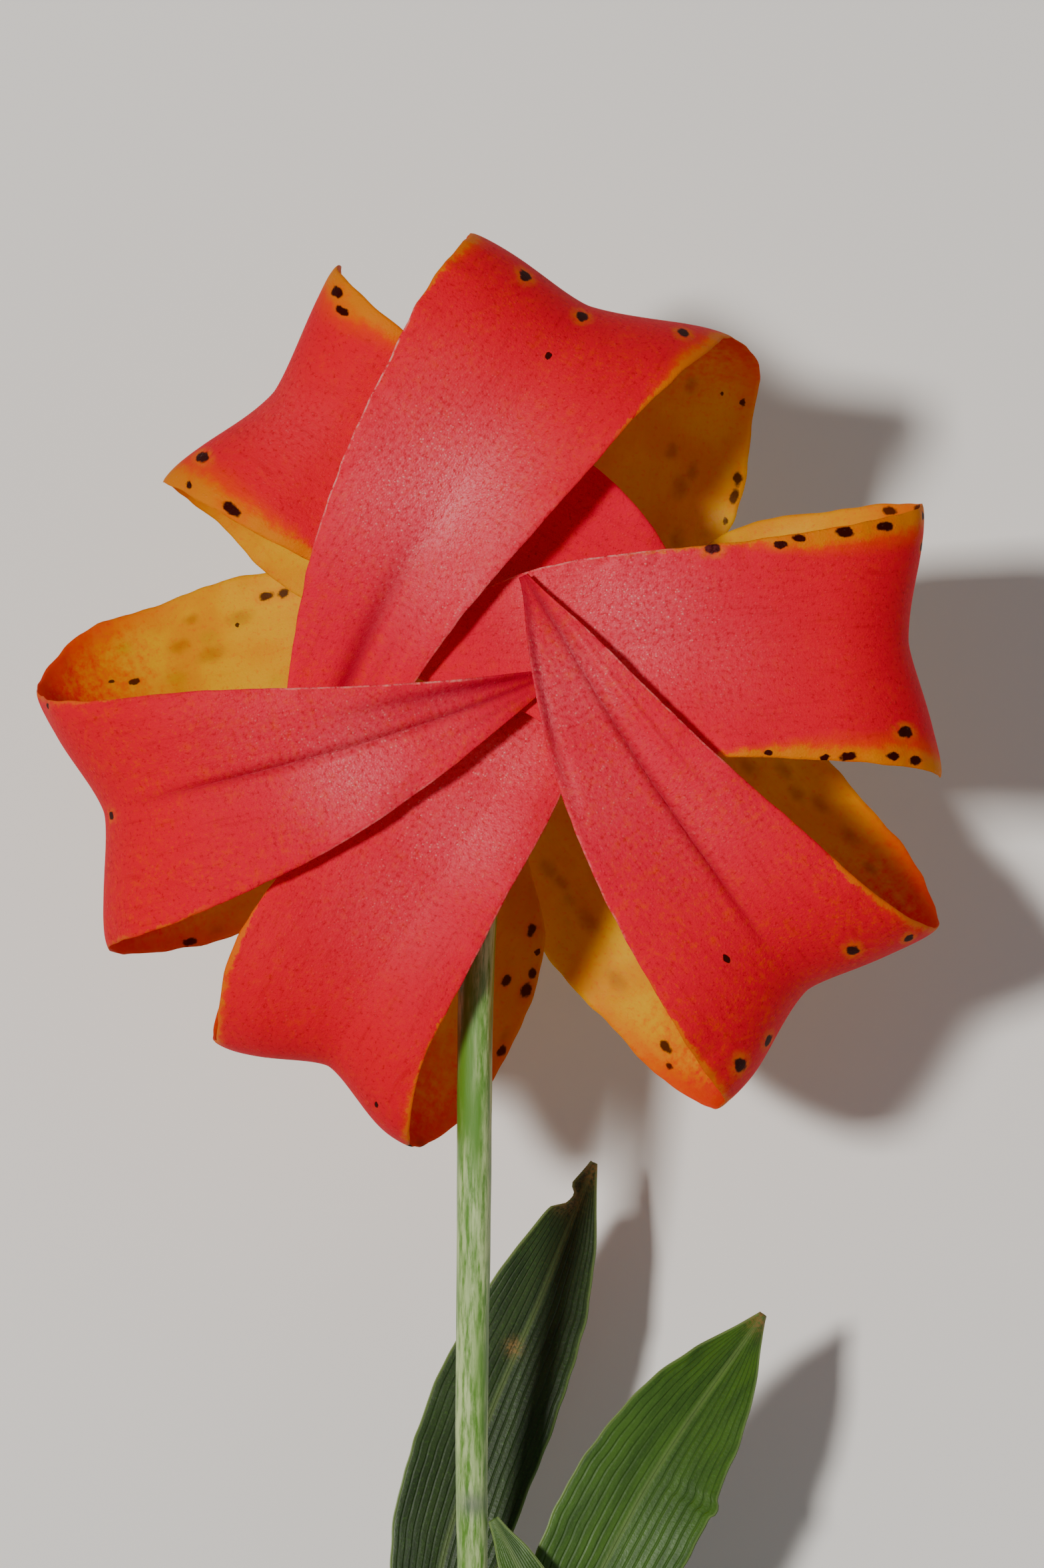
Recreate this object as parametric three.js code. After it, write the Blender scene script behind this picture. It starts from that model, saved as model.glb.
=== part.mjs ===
// A turk's cap lily as a single cut flower, laid on a surface with its face down. Six tepals curl right back
// on themselves, so that their red tips meet behind the flower. Six stamens and a pistil stand out of its
// mouth, and the flower rests on the anthers, on the leaf tips and on the cut end of the stem.
// Everything is in millimetres. The flower is built round its own axis first: +z points back along that axis,
// out of the receptacle, and the stem runs off towards -y. LAY then tips the plant onto the surface z = 0.
import * as THREE from "three";

// Driving dimensions
const LAY = 9.5; // degrees that the flower's back is tipped up from the level
const RECEPTACLE_HEIGHT = 40; // of the receptacle's face above the surface, along the flower's axis
const BLADE = 0.7; // thickness of a tepal or leaf
const SEAT_GAP = 0.3; // between pieces that touch

// Radius round the flower's axis at which the outer three tepals leave the receptacle, and the inner three
const SEPAL_SEAT = 4.15;
const PETAL_SEAT = 3.0;

// Tepals. Directions are counted from +x towards +y, as the flower is seen along its axis from behind.
//   out, back, sweep: the direction in which it leaves the flower, the one its tip half lies along, and how
//     far that turns on towards the tip
//   base, curl, tip: its length from the receptacle to the outermost point of its bend, the length of the
//     bend after that, and the whole length from there to its tip
//   mid, lie, droop: its heading before the bend, after it and at the tip, where 0 faces forward, 90 outward,
//     180 back and 270 inward
//   wide, bend: half its width at the widest and at the bend
//   slim, swell: how much the tip half narrows towards its tip, and how much it swells halfway
//   lean, skew: how much wider its side further round is than the other, in the base half and in the tip half
//   hollow, roll: how much deeper than usual it is dished at the bend, and how far the side further round is
//     lowered in the tip half
const SEPALS = {
  sepal_right: {
    out: 5, back: 3, sweep: -1,
    base: 34.2, curl: 11, tip: 46.5,
    mid: 104.4, lie: 266, droop: 275.3,
    wide: 10, bend: 11.5, slim: -0.85, swell: -0.36,
    lean: 0.18, skew: 0, hollow: 0.1, roll: 0,
  },
  sepal_upper_left: {
    out: 130.5, back: 148.5, sweep: 3,
    base: 33.6, curl: 10, tip: 44,
    mid: 103.4, lie: 270, droop: 279,
    wide: 9.3, bend: 11.7, slim: -0.9, swell: -0.3,
    lean: 0.2, skew: 0.03, hollow: 0.3, roll: 0,
  },
  sepal_lower_left: {
    out: 243.5, back: 239.5, sweep: -5.5,
    base: 39.4, curl: 10.5, tip: 43,
    mid: 102.8, lie: 267, droop: 281.5,
    wide: 12.2, bend: 9.1, slim: -0.36, swell: 0.09,
    lean: 0.06, skew: -0.3, hollow: 1, roll: 0,
  },
};
const PETALS = {
  petal_top: {
    out: 81.5, back: 54, sweep: 18,
    base: 39, curl: 16, tip: 62,
    mid: 116, lie: 269, droop: 291,
    wide: 13.8, bend: 11.4, slim: 0.45, swell: 0.15,
    lean: -0.15, skew: 0.2, hollow: 0, roll: -4,
  },
  petal_left: {
    out: 198.5, back: 193, sweep: 11,
    base: 45.3, curl: 16, tip: 47.2,
    mid: 110.4, lie: 266, droop: 281,
    wide: 14.5, bend: 10.9, slim: 0.6, swell: 0.2,
    lean: -0.1, skew: 0.07, hollow: 0.47, roll: -5,
  },
  petal_lower_right: {
    out: 312, back: 309.5, sweep: -13,
    base: 43, curl: 16, tip: 47.7,
    mid: 110.6, lie: 266, droop: 276,
    wide: 14.5, bend: 11.5, slim: 0.26, swell: 0.04,
    lean: 0, skew: -0.1, hollow: 0.6, roll: -5,
  },
};
// What the outer three tepals share, and the inner three. The way goes from 0 at the receptacle through 1 at
// the bend to 2 at the tip.
//   throat: the heading early in the base half, as [share of base, degrees]
//   width: half the width of the base half, as [way, share of wide]
//   dish: the depth of the hollow across the inner face, as [way, share of half the width]
const SEPAL_FORM = {
  seat: SEPAL_SEAT,
  throat: [[0, 36], [0.22, 80]],
  width: [[0, 0.1], [0.15, 0.2], [0.3, 0.6], [0.45, 0.92], [0.6, 1], [1, 1]],
  dish: [[0, 0.3], [0.4, 0.08], [0.9, 0.18], [1.2, 0.12], [2, 0.12]],
};
const PETAL_FORM = {
  seat: PETAL_SEAT,
  throat: [[0, 22], [0.26, 72]],
  width: [[0, 0.1], [0.12, 0.18], [0.25, 0.66], [0.38, 0.96], [0.5, 1.02], [0.65, 1], [1, 1]],
  dish: [[0, 0.3], [0.4, 0.1], [0.9, 0.18], [1.2, 0.14], [1.7, 0.16], [2, 0.2]],
};
// Half the width of the tip half, as [way, share of bend]
const TIP_WIDTH = [
  [1, 1], [1.12, 0.93], [1.3, 0.83], [1.5, 0.7], [1.7, 0.52], [1.87, 0.29], [1.96, 0.11], [2, 0.04],
];
const ALONG = 34;
const ACROSS = 8;

const UP = new THREE.Vector3(0, 0, 1);
const point = (x, y, z) => new THREE.Vector3(x, y, z);

// Stem: out of the back of the flower, bent over at once, then down to the leaves and the cut. Radii as
// [share of its length, radius]: the receptacle, the flower's own stalk and the thicker stem below the leaves.
const STEM_PATH = [
  point(0, 0, 0), point(0, 0, 1.5), point(-0.3, 0.2, 4), point(-1.5, -4, 7.3), point(-3, -12, 8),
  point(-3.9, -21, 7.6), point(-4.3, -45, 5), point(-4.5, -71, 0.5), point(-4, -91, -4.2),
  point(-3, -115, -9.6), point(-2, -137, -14.85),
];
const STEM_RADII = [
  [0, 4.7], [0.007, 4.6], [0.014, 3.6], [0.022, 2.3], [0.032, 1.7], [0.1, 1.55], [0.5, 1.35], [0.6, 1.25],
  [0.64, 1.6], [0.66, 2.2], [0.68, 2.35], [1, 2.35],
];

// Pistil: the ovary, then the style, which curves aside over the surface, and the stigma
const PISTIL_PATH = [
  point(0, 0, -SEAT_GAP), point(0, 0, -10), point(0, 0, -20), point(1.6, -1, -27), point(6.2, -3.9, -32.5),
  point(12.6, -7.9, -35.4), point(18, -11.2, -36),
];
const PISTIL_RADII = [
  [0, 1], [0.05, 1.15], [0.36, 1.15], [0.42, 0.7], [0.5, 0.5],
  [0.88, 0.55], [0.93, 1.1], [0.97, 1.6], [1, 1.2],
];

// Stamens: the direction each filament takes, how far from the axis its anther lies, and how the anther is
// turned
const FILAMENT_SEAT = 1.85;
const FILAMENT_RADII = [[0, 0.4], [0.5, 0.5], [0.9, 0.4], [1, 0.3]];
const STAMENS = [
  { az: 8, reach: 26, lie: 96 },
  { az: 79, reach: 25, lie: 172 },
  { az: 131, reach: 25, lie: 38 },
  { az: 196, reach: 27, lie: 102 },
  { az: 246, reach: 27, lie: 150 },
  { az: 309, reach: 27, lie: 40 },
];
const ANTHER = { length: 15, width: 2.8, height: 2.3 };
const ANTHER_FORM = [
  [-1, 0.35], [-0.93, 0.7], [-0.75, 0.95], [-0.3, 1], [0.3, 1], [0.75, 0.95], [0.93, 0.7], [1, 0.35],
];
const ANTHER_SECTION = [
  [-0.32, 0], [0.32, 0], [0.48, 0.25], [0.5, 0.6], [0.36, 0.95], [0.16, 0.98], [0, 0.8], [-0.16, 0.98],
  [-0.36, 0.95], [-0.5, 0.6], [-0.48, 0.25],
];

// Leaves: a whorl where the flower's stalk joins the stem, and a small one on the flower's stalk. Each has
// its whole width and the points that its midrib runs through.
const LEAVES = {
  leaf_1: {
    width: 12,
    midrib: [point(-0.9, -90.2, -3.2), point(4.2, -80, -2.2), point(11, -67.5, -4), point(20.4, -54.6, -9.5)],
  },
  leaf_2: {
    width: 11,
    midrib: [
      point(-6.3, -89, -6), point(-7.6, -79, -9), point(-4, -66, -12), point(1.8, -52.5, -15.5),
      point(6, -42.2, -19),
    ],
  },
  leaf_3: {
    width: 13,
    midrib: [point(-6.8, -91.8, -5), point(-18, -92, -5.5), point(-33, -96, -9), point(-50, -103, -17)],
  },
  leaf_4: {
    width: 13,
    midrib: [point(-0.6, -93.5, -6.2), point(10, -99, -8), point(21, -108, -11), point(32, -119, -16)],
  },
  leaf_5: {
    width: 12,
    midrib: [
      point(-7.2, -94.6, -6.6), point(-13, -105, -9.5), point(-18, -119, -12.5), point(-22, -134, -14.5),
    ],
  },
  bract: {
    width: 4.4,
    midrib: [point(-2.7, -71, 0.4), point(-0.5, -75, 1.6), point(2, -81, 1.2), point(3.5, -88, -1)],
  },
};
// Half the width of a leaf, as [share of its length, share of half its width]
const LEAF_WIDTH = [
  [0, 0.22], [0.08, 0.38], [0.2, 0.7], [0.38, 0.97], [0.52, 1], [0.7, 0.86], [0.85, 0.55], [0.95, 0.22],
  [1, 0.06],
];
const LEAF_FOLD = 0.16; // how far its two halves rise from the midrib, over half its width
const LEAF_ALONG = 16;
const LEAF_ACROSS = 4;

const radians = THREE.MathUtils.degToRad;
const smoothstep = THREE.MathUtils.smoothstep;

// The value at x on a line through points [x, y] that are in order.
function along(points, x) {
  const next = points.findIndex((p) => p[0] >= x);
  if (next <= 0) return points[next < 0 ? points.length - 1 : 0][1];
  const [a, b] = [points[next - 1], points[next]];
  return a[1] + ((b[1] - a[1]) * (x - a[0])) / (b[0] - a[0]);
}

// A tepal's centre line, with its frame at each step: across is the direction of its width, and face points
// away from its inner surface, the one that turns to the front as the flower opens.
function tepalSpine(tepal, { seat, throat }) {
  const { out, back, sweep, base, curl, tip, mid, lie, droop } = tepal;
  const headings = throat.map(([share, degrees]) => [share * base, degrees]);
  headings.push([0.6 * base, mid], [0.84 * base, mid + 38], [base, 180]);
  headings.push([base + curl, lie], [base + tip, droop]);
  const fine = 8; // smaller steps inside each one, for the sum below
  const step = (base + tip) / (ALONG * fine);
  const place = new THREE.Vector3(seat, 0, -SEAT_GAP - BLADE / 4).applyAxisAngle(UP, radians(out));
  const spine = [];
  for (let i = 0; i <= ALONG * fine; i++) {
    const s = i * step;
    const heading = radians(along(headings, s));
    const swing = smoothstep(s, 0.5 * base, base + curl + 4);
    const plan = radians(out + (back - out) * swing + sweep * smoothstep(s, base + curl, base + tip));
    const outward = new THREE.Vector3(Math.cos(plan), Math.sin(plan), 0);
    const run = outward.clone().multiplyScalar(Math.sin(heading)).setZ(-Math.cos(heading));
    const face = outward.clone().multiplyScalar(-Math.cos(heading)).setZ(-Math.sin(heading));
    const across = new THREE.Vector3(-Math.sin(plan), Math.cos(plan), 0);
    const way = s < base ? s / base : 1 + (s - base) / tip;
    if (i % fine === 0) spine.push({ s, way, place: place.clone(), face, across });
    place.addScaledVector(run, step);
  }
  return spine;
}

// Half the width of a tepal at a point of the way, from the widest to the bend in one smooth step.
function halfWidth({ wide, bend, slim, swell }, form, way) {
  if (way < 1) return along(form.width, way) * (wide + (bend - wide) * smoothstep(way, 0.7, 1.05));
  return bend * along(TIP_WIDTH, way) * (1 - slim * (way - 1) + swell * Math.sin(Math.PI * (way - 1)));
}

// How much wider than half the width the side further round is.
function sideShare({ lean, skew }, way) {
  const inBase = lean * smoothstep(way, 0.15, 0.4) * (1 - smoothstep(way, 0.75, 1.02));
  return inBase + skew * smoothstep(way, 1, 1.25) * (1 - smoothstep(way, 1.5, 2));
}

// How deep a tepal is dished across, over half its width.
function dishShare({ hollow }, form, way) {
  const nearBend = smoothstep(way, 0.6, 0.95) * (1 - smoothstep(way, 1.05, 1.4));
  return along(form.dish, way) * (1 + hollow * nearBend);
}

// A geometry from points and triangles.
function solid(points, triangles) {
  const geometry = new THREE.BufferGeometry();
  geometry.setAttribute("position", new THREE.Float32BufferAttribute(points.flatMap((p) => p.toArray()), 3));
  geometry.setIndex(triangles);
  return geometry;
}

// A closed thin solid on a grid of points: rows[i][j], with its thickness to both sides of the grid.
function blade(rows, thickness) {
  const n = rows.length;
  const m = rows[0].length;
  const normal = (i, j) => {
    const a = rows[Math.min(i + 1, n - 1)][j].clone().sub(rows[Math.max(i - 1, 0)][j]);
    const b = rows[i][Math.min(j + 1, m - 1)].clone().sub(rows[i][Math.max(j - 1, 0)]);
    return a.cross(b).normalize();
  };
  const side = (sign) =>
    rows.flatMap((row, i) =>
      row.map((p, j) => p.clone().addScaledVector(normal(i, j), (sign * thickness) / 2)),
    );
  const under = n * m;
  const triangles = [];
  for (let i = 0; i < n - 1; i++)
    for (let j = 0; j < m - 1; j++) {
      const [a, b, c, d] = [i * m + j, (i + 1) * m + j, (i + 1) * m + j + 1, i * m + j + 1];
      triangles.push(a, b, c, a, c, d);
      triangles.push(a + under, c + under, b + under, a + under, d + under, c + under);
    }
  const rim = [];
  for (let i = 0; i < n - 1; i++) rim.push(i * m);
  for (let j = 0; j < m - 1; j++) rim.push((n - 1) * m + j);
  for (let i = n - 1; i > 0; i--) rim.push(i * m + m - 1);
  for (let j = m - 1; j > 0; j--) rim.push(j);
  rim.forEach((a, k) => {
    const b = rim[(k + 1) % rim.length];
    triangles.push(a, a + under, b + under, a, b + under, b);
  });
  return solid([...side(1), ...side(-1)], triangles);
}

// A closed solid through rings of points, each ring counter-clockwise as seen from the last ring.
function loft(rings) {
  const m = rings[0].length;
  const points = rings.flat();
  const triangles = [];
  for (let i = 0; i < rings.length - 1; i++)
    for (let j = 0; j < m; j++) {
      const [a, b] = [i * m + j, i * m + ((j + 1) % m)];
      triangles.push(a, b, b + m, a, b + m, a + m);
    }
  for (const last of [false, true]) {
    const ring = last ? rings.at(-1) : rings[0];
    const centre = ring.reduce((sum, p) => sum.add(p), new THREE.Vector3()).divideScalar(m);
    const first = last ? (rings.length - 1) * m : 0;
    for (let j = 0; j < m; j++) {
      const [a, b] = [first + j, first + ((j + 1) % m)];
      triangles.push(points.length, ...(last ? [a, b] : [b, a]));
    }
    points.push(centre);
  }
  return solid(points, triangles);
}

// A round stalk along a curve through the points, with its radius as [share of the curve's length, radius].
function stalk(points, radii, steps, sides) {
  const curve = new THREE.CatmullRomCurve3(points, false, "centripetal");
  const frames = curve.computeFrenetFrames(steps, false);
  const rings = Array.from({ length: steps + 1 }, (_, i) => {
    const centre = curve.getPointAt(i / steps);
    const radius = along(radii, i / steps);
    return Array.from({ length: sides }, (_, j) => {
      const angle = (2 * Math.PI * j) / sides;
      return centre
        .clone()
        .addScaledVector(frames.normals[i], radius * Math.cos(angle))
        .addScaledVector(frames.binormals[i], radius * Math.sin(angle));
    });
  });
  return loft(rings);
}

// The point at a height above the surface that the flower lies on.
function above(x, y, height) {
  const slope = radians(LAY);
  return new THREE.Vector3(x, y, height / Math.cos(slope) - RECEPTACLE_HEIGHT - y * Math.tan(slope));
}

function tepalGeometry(tepal, form) {
  const rows = tepalSpine(tepal, form).map(({ s, way, place, face, across }) => {
    const half = halfWidth(tepal, form, way);
    const depth = half * dishShare(tepal, form, way);
    const roll = radians(tepal.roll) * smoothstep(s, tepal.base, tepal.base + tepal.curl);
    const width = across.clone().multiplyScalar(Math.cos(roll)).addScaledVector(face, Math.sin(roll));
    const up = face.clone().multiplyScalar(Math.cos(roll)).addScaledVector(across, -Math.sin(roll));
    return Array.from({ length: ACROSS + 1 }, (_, j) => {
      const u = (2 * j) / ACROSS - 1;
      const reach = half * u * (1 + Math.sign(u) * sideShare(tepal, way));
      const lift = depth * Math.sin((Math.PI / 2) * Math.abs(u)) ** 1.5;
      return place.clone().addScaledVector(width, reach).addScaledVector(up, lift);
    });
  });
  return blade(rows, BLADE);
}

// A leaf along a curve, its two halves folded up a little.
function leafGeometry({ width, midrib }) {
  const curve = new THREE.CatmullRomCurve3(midrib, false, "centripetal");
  const rows = Array.from({ length: LEAF_ALONG + 1 }, (_, i) => {
    const share = i / LEAF_ALONG;
    const place = curve.getPointAt(share);
    const run = curve.getTangentAt(share);
    const across = UP.clone().cross(run).normalize();
    const up = run.clone().cross(across);
    const half = (width / 2) * along(LEAF_WIDTH, share);
    return Array.from({ length: LEAF_ACROSS + 1 }, (_, j) => {
      const u = (2 * j) / LEAF_ACROSS - 1;
      const lift = LEAF_FOLD * half * Math.abs(u);
      return place.clone().addScaledVector(across, half * u).addScaledVector(up, lift);
    });
  });
  return blade(rows, BLADE);
}

// An anther on its flat side, with two lobes, its length along x and its middle at the origin.
function antherGeometry() {
  const rings = ANTHER_FORM.map(([x, size]) =>
    ANTHER_SECTION.map(([y, z]) => {
      return new THREE.Vector3((x * ANTHER.length) / 2, y * size * ANTHER.width, z * size * ANTHER.height);
    }),
  );
  return loft(rings);
}

const plant = new THREE.Group();
function add(name, geometry, finish) {
  const mesh = new THREE.Mesh(geometry, finish);
  mesh.name = name;
  plant.add(mesh);
  return mesh;
}
function material(name, color, roughness) {
  const finish = new THREE.MeshStandardMaterial({ color, roughness });
  finish.name = name;
  return finish;
}
const tepalRed = material("tepal_red", 0xe8392a, 0.5);
const stemGreen = material("stem_green", 0x7f9a3c, 0.55);
const leafGreen = material("leaf_green", 0x4f8a2a, 0.5);
const filamentGreen = material("filament_green", 0xb9c46a, 0.5);
const antherBrown = material("anther_brown", 0x8a3a1c, 0.8);

// Tepals
for (const [name, tepal] of Object.entries(SEPALS)) add(name, tepalGeometry(tepal, SEPAL_FORM), tepalRed);
for (const [name, tepal] of Object.entries(PETALS)) add(name, tepalGeometry(tepal, PETAL_FORM), tepalRed);

// Stem, with the receptacle at its top
add("stem", stalk(STEM_PATH, STEM_RADII, 64, 14), stemGreen);

// Pistil
add("pistil", stalk(PISTIL_PATH, PISTIL_RADII, 34, 10), filamentGreen);

// Stamens
STAMENS.forEach(({ az, reach, lie }, i) => {
  const at = (radius) => [Math.cos(radians(az)) * radius, Math.sin(radians(az)) * radius];
  const end = above(...at(reach), ANTHER.height + SEAT_GAP + 0.25);
  const start = new THREE.Vector3(...at(FILAMENT_SEAT), -SEAT_GAP);
  const path = [start, new THREE.Vector3(...at(FILAMENT_SEAT + 0.06 * reach), -9)];
  for (const share of [0.28, 0.62]) {
    path.push(new THREE.Vector3(...at(reach * share), end.z * (0.42 + 0.5 * share)));
  }
  path.push(end);
  add(`filament_${i + 1}`, stalk(path, FILAMENT_RADII, 18, 8), filamentGreen);
  const anther = antherGeometry();
  anther.rotateZ(radians(lie));
  anther.rotateX(-radians(LAY));
  anther.translate(...above(...at(reach), 0).toArray());
  add(`anther_${i + 1}`, anther, antherBrown);
});

// Leaves
for (const [name, leaf] of Object.entries(LEAVES)) add(name, leafGeometry(leaf), leafGreen);

// Lay the plant down, with the middle of its underside at the origin.
plant.rotation.x = radians(LAY);
plant.updateMatrixWorld(true);
const box = new THREE.Box3().setFromObject(plant, true);
const middle = box.getCenter(new THREE.Vector3());
plant.position.set(-middle.x, -middle.y, -box.min.z);

const group = new THREE.Group();
group.add(plant);
export default group;
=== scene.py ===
# A turk's cap lily, picked and laid face down, as a Blender add-on that is run as a script.
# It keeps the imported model's frame: metres, +Z up, the surface at z = 0.
# Each piece is made round the flower's own axis in millimetres, then laid down by plant_to_frame().
import math

import bpy
from mathutils import Matrix, Vector, noise


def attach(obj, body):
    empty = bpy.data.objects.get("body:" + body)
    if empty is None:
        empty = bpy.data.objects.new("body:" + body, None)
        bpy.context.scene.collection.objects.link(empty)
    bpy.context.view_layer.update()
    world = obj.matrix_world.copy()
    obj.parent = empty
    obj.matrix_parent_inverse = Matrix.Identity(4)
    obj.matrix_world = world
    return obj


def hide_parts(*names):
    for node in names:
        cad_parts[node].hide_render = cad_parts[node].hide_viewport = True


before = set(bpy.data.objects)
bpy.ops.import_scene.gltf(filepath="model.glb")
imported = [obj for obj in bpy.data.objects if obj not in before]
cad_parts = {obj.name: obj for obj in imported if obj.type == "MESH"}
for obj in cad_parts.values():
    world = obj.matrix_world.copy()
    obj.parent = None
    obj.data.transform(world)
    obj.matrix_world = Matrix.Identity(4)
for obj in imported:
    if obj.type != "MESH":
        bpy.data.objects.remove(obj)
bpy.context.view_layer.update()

bl_info = {
    "name": "Turk's Cap Lily",
    "version": (1, 0, 0),
    "blender": (4, 5, 0),
    "location": "3D View > Sidebar > Lily",
    "description": "Builds a picked turk's cap lily lying on its face",
    "category": "Add Mesh",
}

MM = 0.001

# How the plant lies: its tilt about X in degrees, and where the receptacle's face stands in the frame, in mm
LAY = 9.5
RECEPTACLE_AT = Vector((7.7501, 49.0158, 39.4514))
RECEPTACLE_HEIGHT = 40.0

# Camera: where it stands over the flower's own axes in mm, and its focal length in pixels of the photograph
CAMERA_AT = Vector((-0.29, -9.07, 510.0))
FOCAL_PIXELS = 9091.0
IMAGE_HEIGHT = 2356.0
SENSOR = 36.0

# Stage, in metres: the floor's side (its tooth is bumps per metre) and where the two lights stand. Colours
# are linear red, green and blue
FLOOR_SIDE = 3.0
FLOOR_TOOTH = 300.0
KEY_AT = (-0.363, -0.028, 0.997)
KEY_COLOUR = (1.0, 0.97, 0.92)
FILL_AT = (0.7, -0.25, 0.6)
FILL_SIZE = 0.7
FILL_COLOUR = (0.95, 0.97, 1.0)
ROOM_COLOUR = (0.97, 0.98, 1.0, 1.0)

# Tepals, with the same numbers as the solids. Degrees round the axis: out is where the base half points, back
# where the curled half lies, sweep how far that turns by the tip. Lengths in mm down the middle: base to the
# bend, curl round the bend, tip from the bend to the end. Degrees from the axis: mid, lie and droop, before
# and past the bend. Half widths in mm: wide, and bend at the bend. Shares of the half width: slim and swell
# past the bend, lean and skew towards the side further round, hollow for the dish. Roll turns the curled half
# about its length, in degrees.
SEPALS = {
    "sepal_right": dict(
        out=5, back=3, sweep=-1, base=34.2, curl=11, tip=46.5, mid=104.4, lie=266, droop=275.3,
        wide=10, bend=11.5, slim=-0.85, swell=-0.36, lean=0.18, skew=0, hollow=0.1, roll=0),
    "sepal_upper_left": dict(
        out=130.5, back=148.5, sweep=3, base=33.6, curl=10, tip=44, mid=103.4, lie=270, droop=279,
        wide=9.3, bend=11.7, slim=-0.9, swell=-0.3, lean=0.2, skew=0.03, hollow=0.3, roll=0),
    "sepal_lower_left": dict(
        out=243.5, back=239.5, sweep=-5.5, base=39.4, curl=10.5, tip=43, mid=102.8, lie=267, droop=281.5,
        wide=12.2, bend=9.1, slim=-0.36, swell=0.09, lean=0.06, skew=-0.3, hollow=1, roll=0),
}
PETALS = {
    "petal_top": dict(
        out=81.5, back=54, sweep=18, base=39, curl=16, tip=62, mid=116, lie=269, droop=291,
        wide=13.8, bend=11.4, slim=0.45, swell=0.15, lean=-0.15, skew=0.2, hollow=0, roll=-4),
    "petal_left": dict(
        out=198.5, back=193, sweep=11, base=45.3, curl=16, tip=47.2, mid=110.4, lie=266, droop=281,
        wide=14.5, bend=10.9, slim=0.6, swell=0.2, lean=-0.1, skew=0.07, hollow=0.47, roll=-5),
    "petal_lower_right": dict(
        out=312, back=309.5, sweep=-13, base=43, curl=16, tip=47.7, mid=110.6, lie=266, droop=276,
        wide=14.5, bend=11.5, slim=0.26, swell=0.04, lean=0, skew=-0.1, hollow=0.6, roll=-5),
}
# How much of its half width a tepal's nearer side loses at the tip
PARED_TIPS = {"sepal_right": 0.4}
SEPAL_FORM = dict(
    seat=4.15,
    throat=[(0, 36), (0.22, 80)],
    width=[(0, 0.1), (0.15, 0.2), (0.3, 0.6), (0.45, 0.92), (0.6, 1), (1, 1)],
    dish=[(0, 0.3), (0.4, 0.08), (0.9, 0.18), (1.2, 0.12), (2, 0.12)])
PETAL_FORM = dict(
    seat=3.0,
    throat=[(0, 22), (0.26, 72)],
    width=[(0, 0.1), (0.12, 0.18), (0.25, 0.66), (0.38, 0.96), (0.5, 1.02), (0.65, 1), (1, 1)],
    dish=[(0, 0.3), (0.4, 0.1), (0.9, 0.18), (1.2, 0.14), (1.7, 0.16), (2, 0.2)])
TIP_WIDTH = [
    (1, 1), (1.12, 0.93), (1.3, 0.83), (1.5, 0.7), (1.7, 0.52), (1.87, 0.29), (1.96, 0.11), (2, 0.04)]
# Each tepal's inner face: how wide in mm and how strong its yellow border is at the bend, how far along the
# way from the bend it reaches, and how orange the mottling is. Outer face: how red the flush at the bend is
LOOKS = {
    "sepal_right": dict(border=2.0, strength=0.95, reach=0.55, warmth=0.25, flush=0.3),
    "sepal_upper_left": dict(border=2.6, strength=0.95, reach=0.4, warmth=0.3, flush=0.3),
    "sepal_lower_left": dict(border=0.6, strength=0.6, reach=0.3, warmth=0.4, flush=0.9),
    "petal_top": dict(border=1.3, strength=0.75, reach=0.2, warmth=0.5, flush=0.8),
    "petal_left": dict(border=0.35, strength=0.4, reach=0.25, warmth=0.65, flush=1.0),
    "petal_lower_right": dict(border=0.7, strength=0.6, reach=0.3, warmth=0.75, flush=1.0),
}
TEPAL_ROWS = 190
TEPAL_COLUMNS = 80
SPINE_STEPS_PER_ROW = 2
# In mm: the gap between a tepal's base and the receptacle, and how thick the solids' blades are
SEAT_GAP = 0.3
BLADE = 0.7
# Share of the light that goes through a tepal, by face, and the height in metres of its skin's bumps
INNER_SHEER = 0.28
OUTER_SHEER = 0.35
SKIN_BUMP = 0.00006
# How far in mm a tepal's coloured margin wavers, and how much longer its spots are than wide
MARGIN_WAVER = 2.2
SPOT_STRETCH = 1.6

# Dark spots on each tepal's inner and outer face, and the faint blotches where spots show through
# the outer face: mm past the bend, mm across and radius in mm
INNER_SPOTS = {
    "petal_top": [(5.4, 5.7, 0.75), (5.6, 0, 0.75), (3, -8.1, 0.7), (11.8, 0.6, 0.25)],
    "petal_left": [(4.2, 0.4, 0.5), (3.4, -9.8, 0.35)],
    "petal_lower_right": [
        (5.6, 4.9, 0.65), (3, 9.1, 0.55), (5.1, -8.4, 0.8), (3.3, -5.3, 0.7), (13.1, -3.7, 0.25)],
    "sepal_right": [
        (20.3, 8.4, 0.6), (14.7, 8.4, 0.45), (13.1, 8.9, 0.45), (9.6, 9.2, 0.6), (6.3, 9.5, 0.55),
        (1.2, 10.4, 0.45), (0.9, 7.9, 0.5), (5.4, -7.5, 0.65), (6.9, -9.4, 0.45), (4.8, -9.9, 0.5),
        (10.2, -9.2, 0.5), (12, -9.2, 0.35), (16.6, -8.6, 0.3)],
    "sepal_upper_left": [
        (4.4, -9.6, 0.6), (5.7, -8.6, 0.45), (0.7, -5.1, 0.45), (2.3, 8, 0.7), (3.3, 10.5, 0.4),
        (7.2, 10.1, 0.6)],
    "sepal_lower_left": [(-2.7, 9.9, 0.5), (-0.2, 9.1, 0.4), (3.7, 5.1, 0.2)],
}
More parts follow.
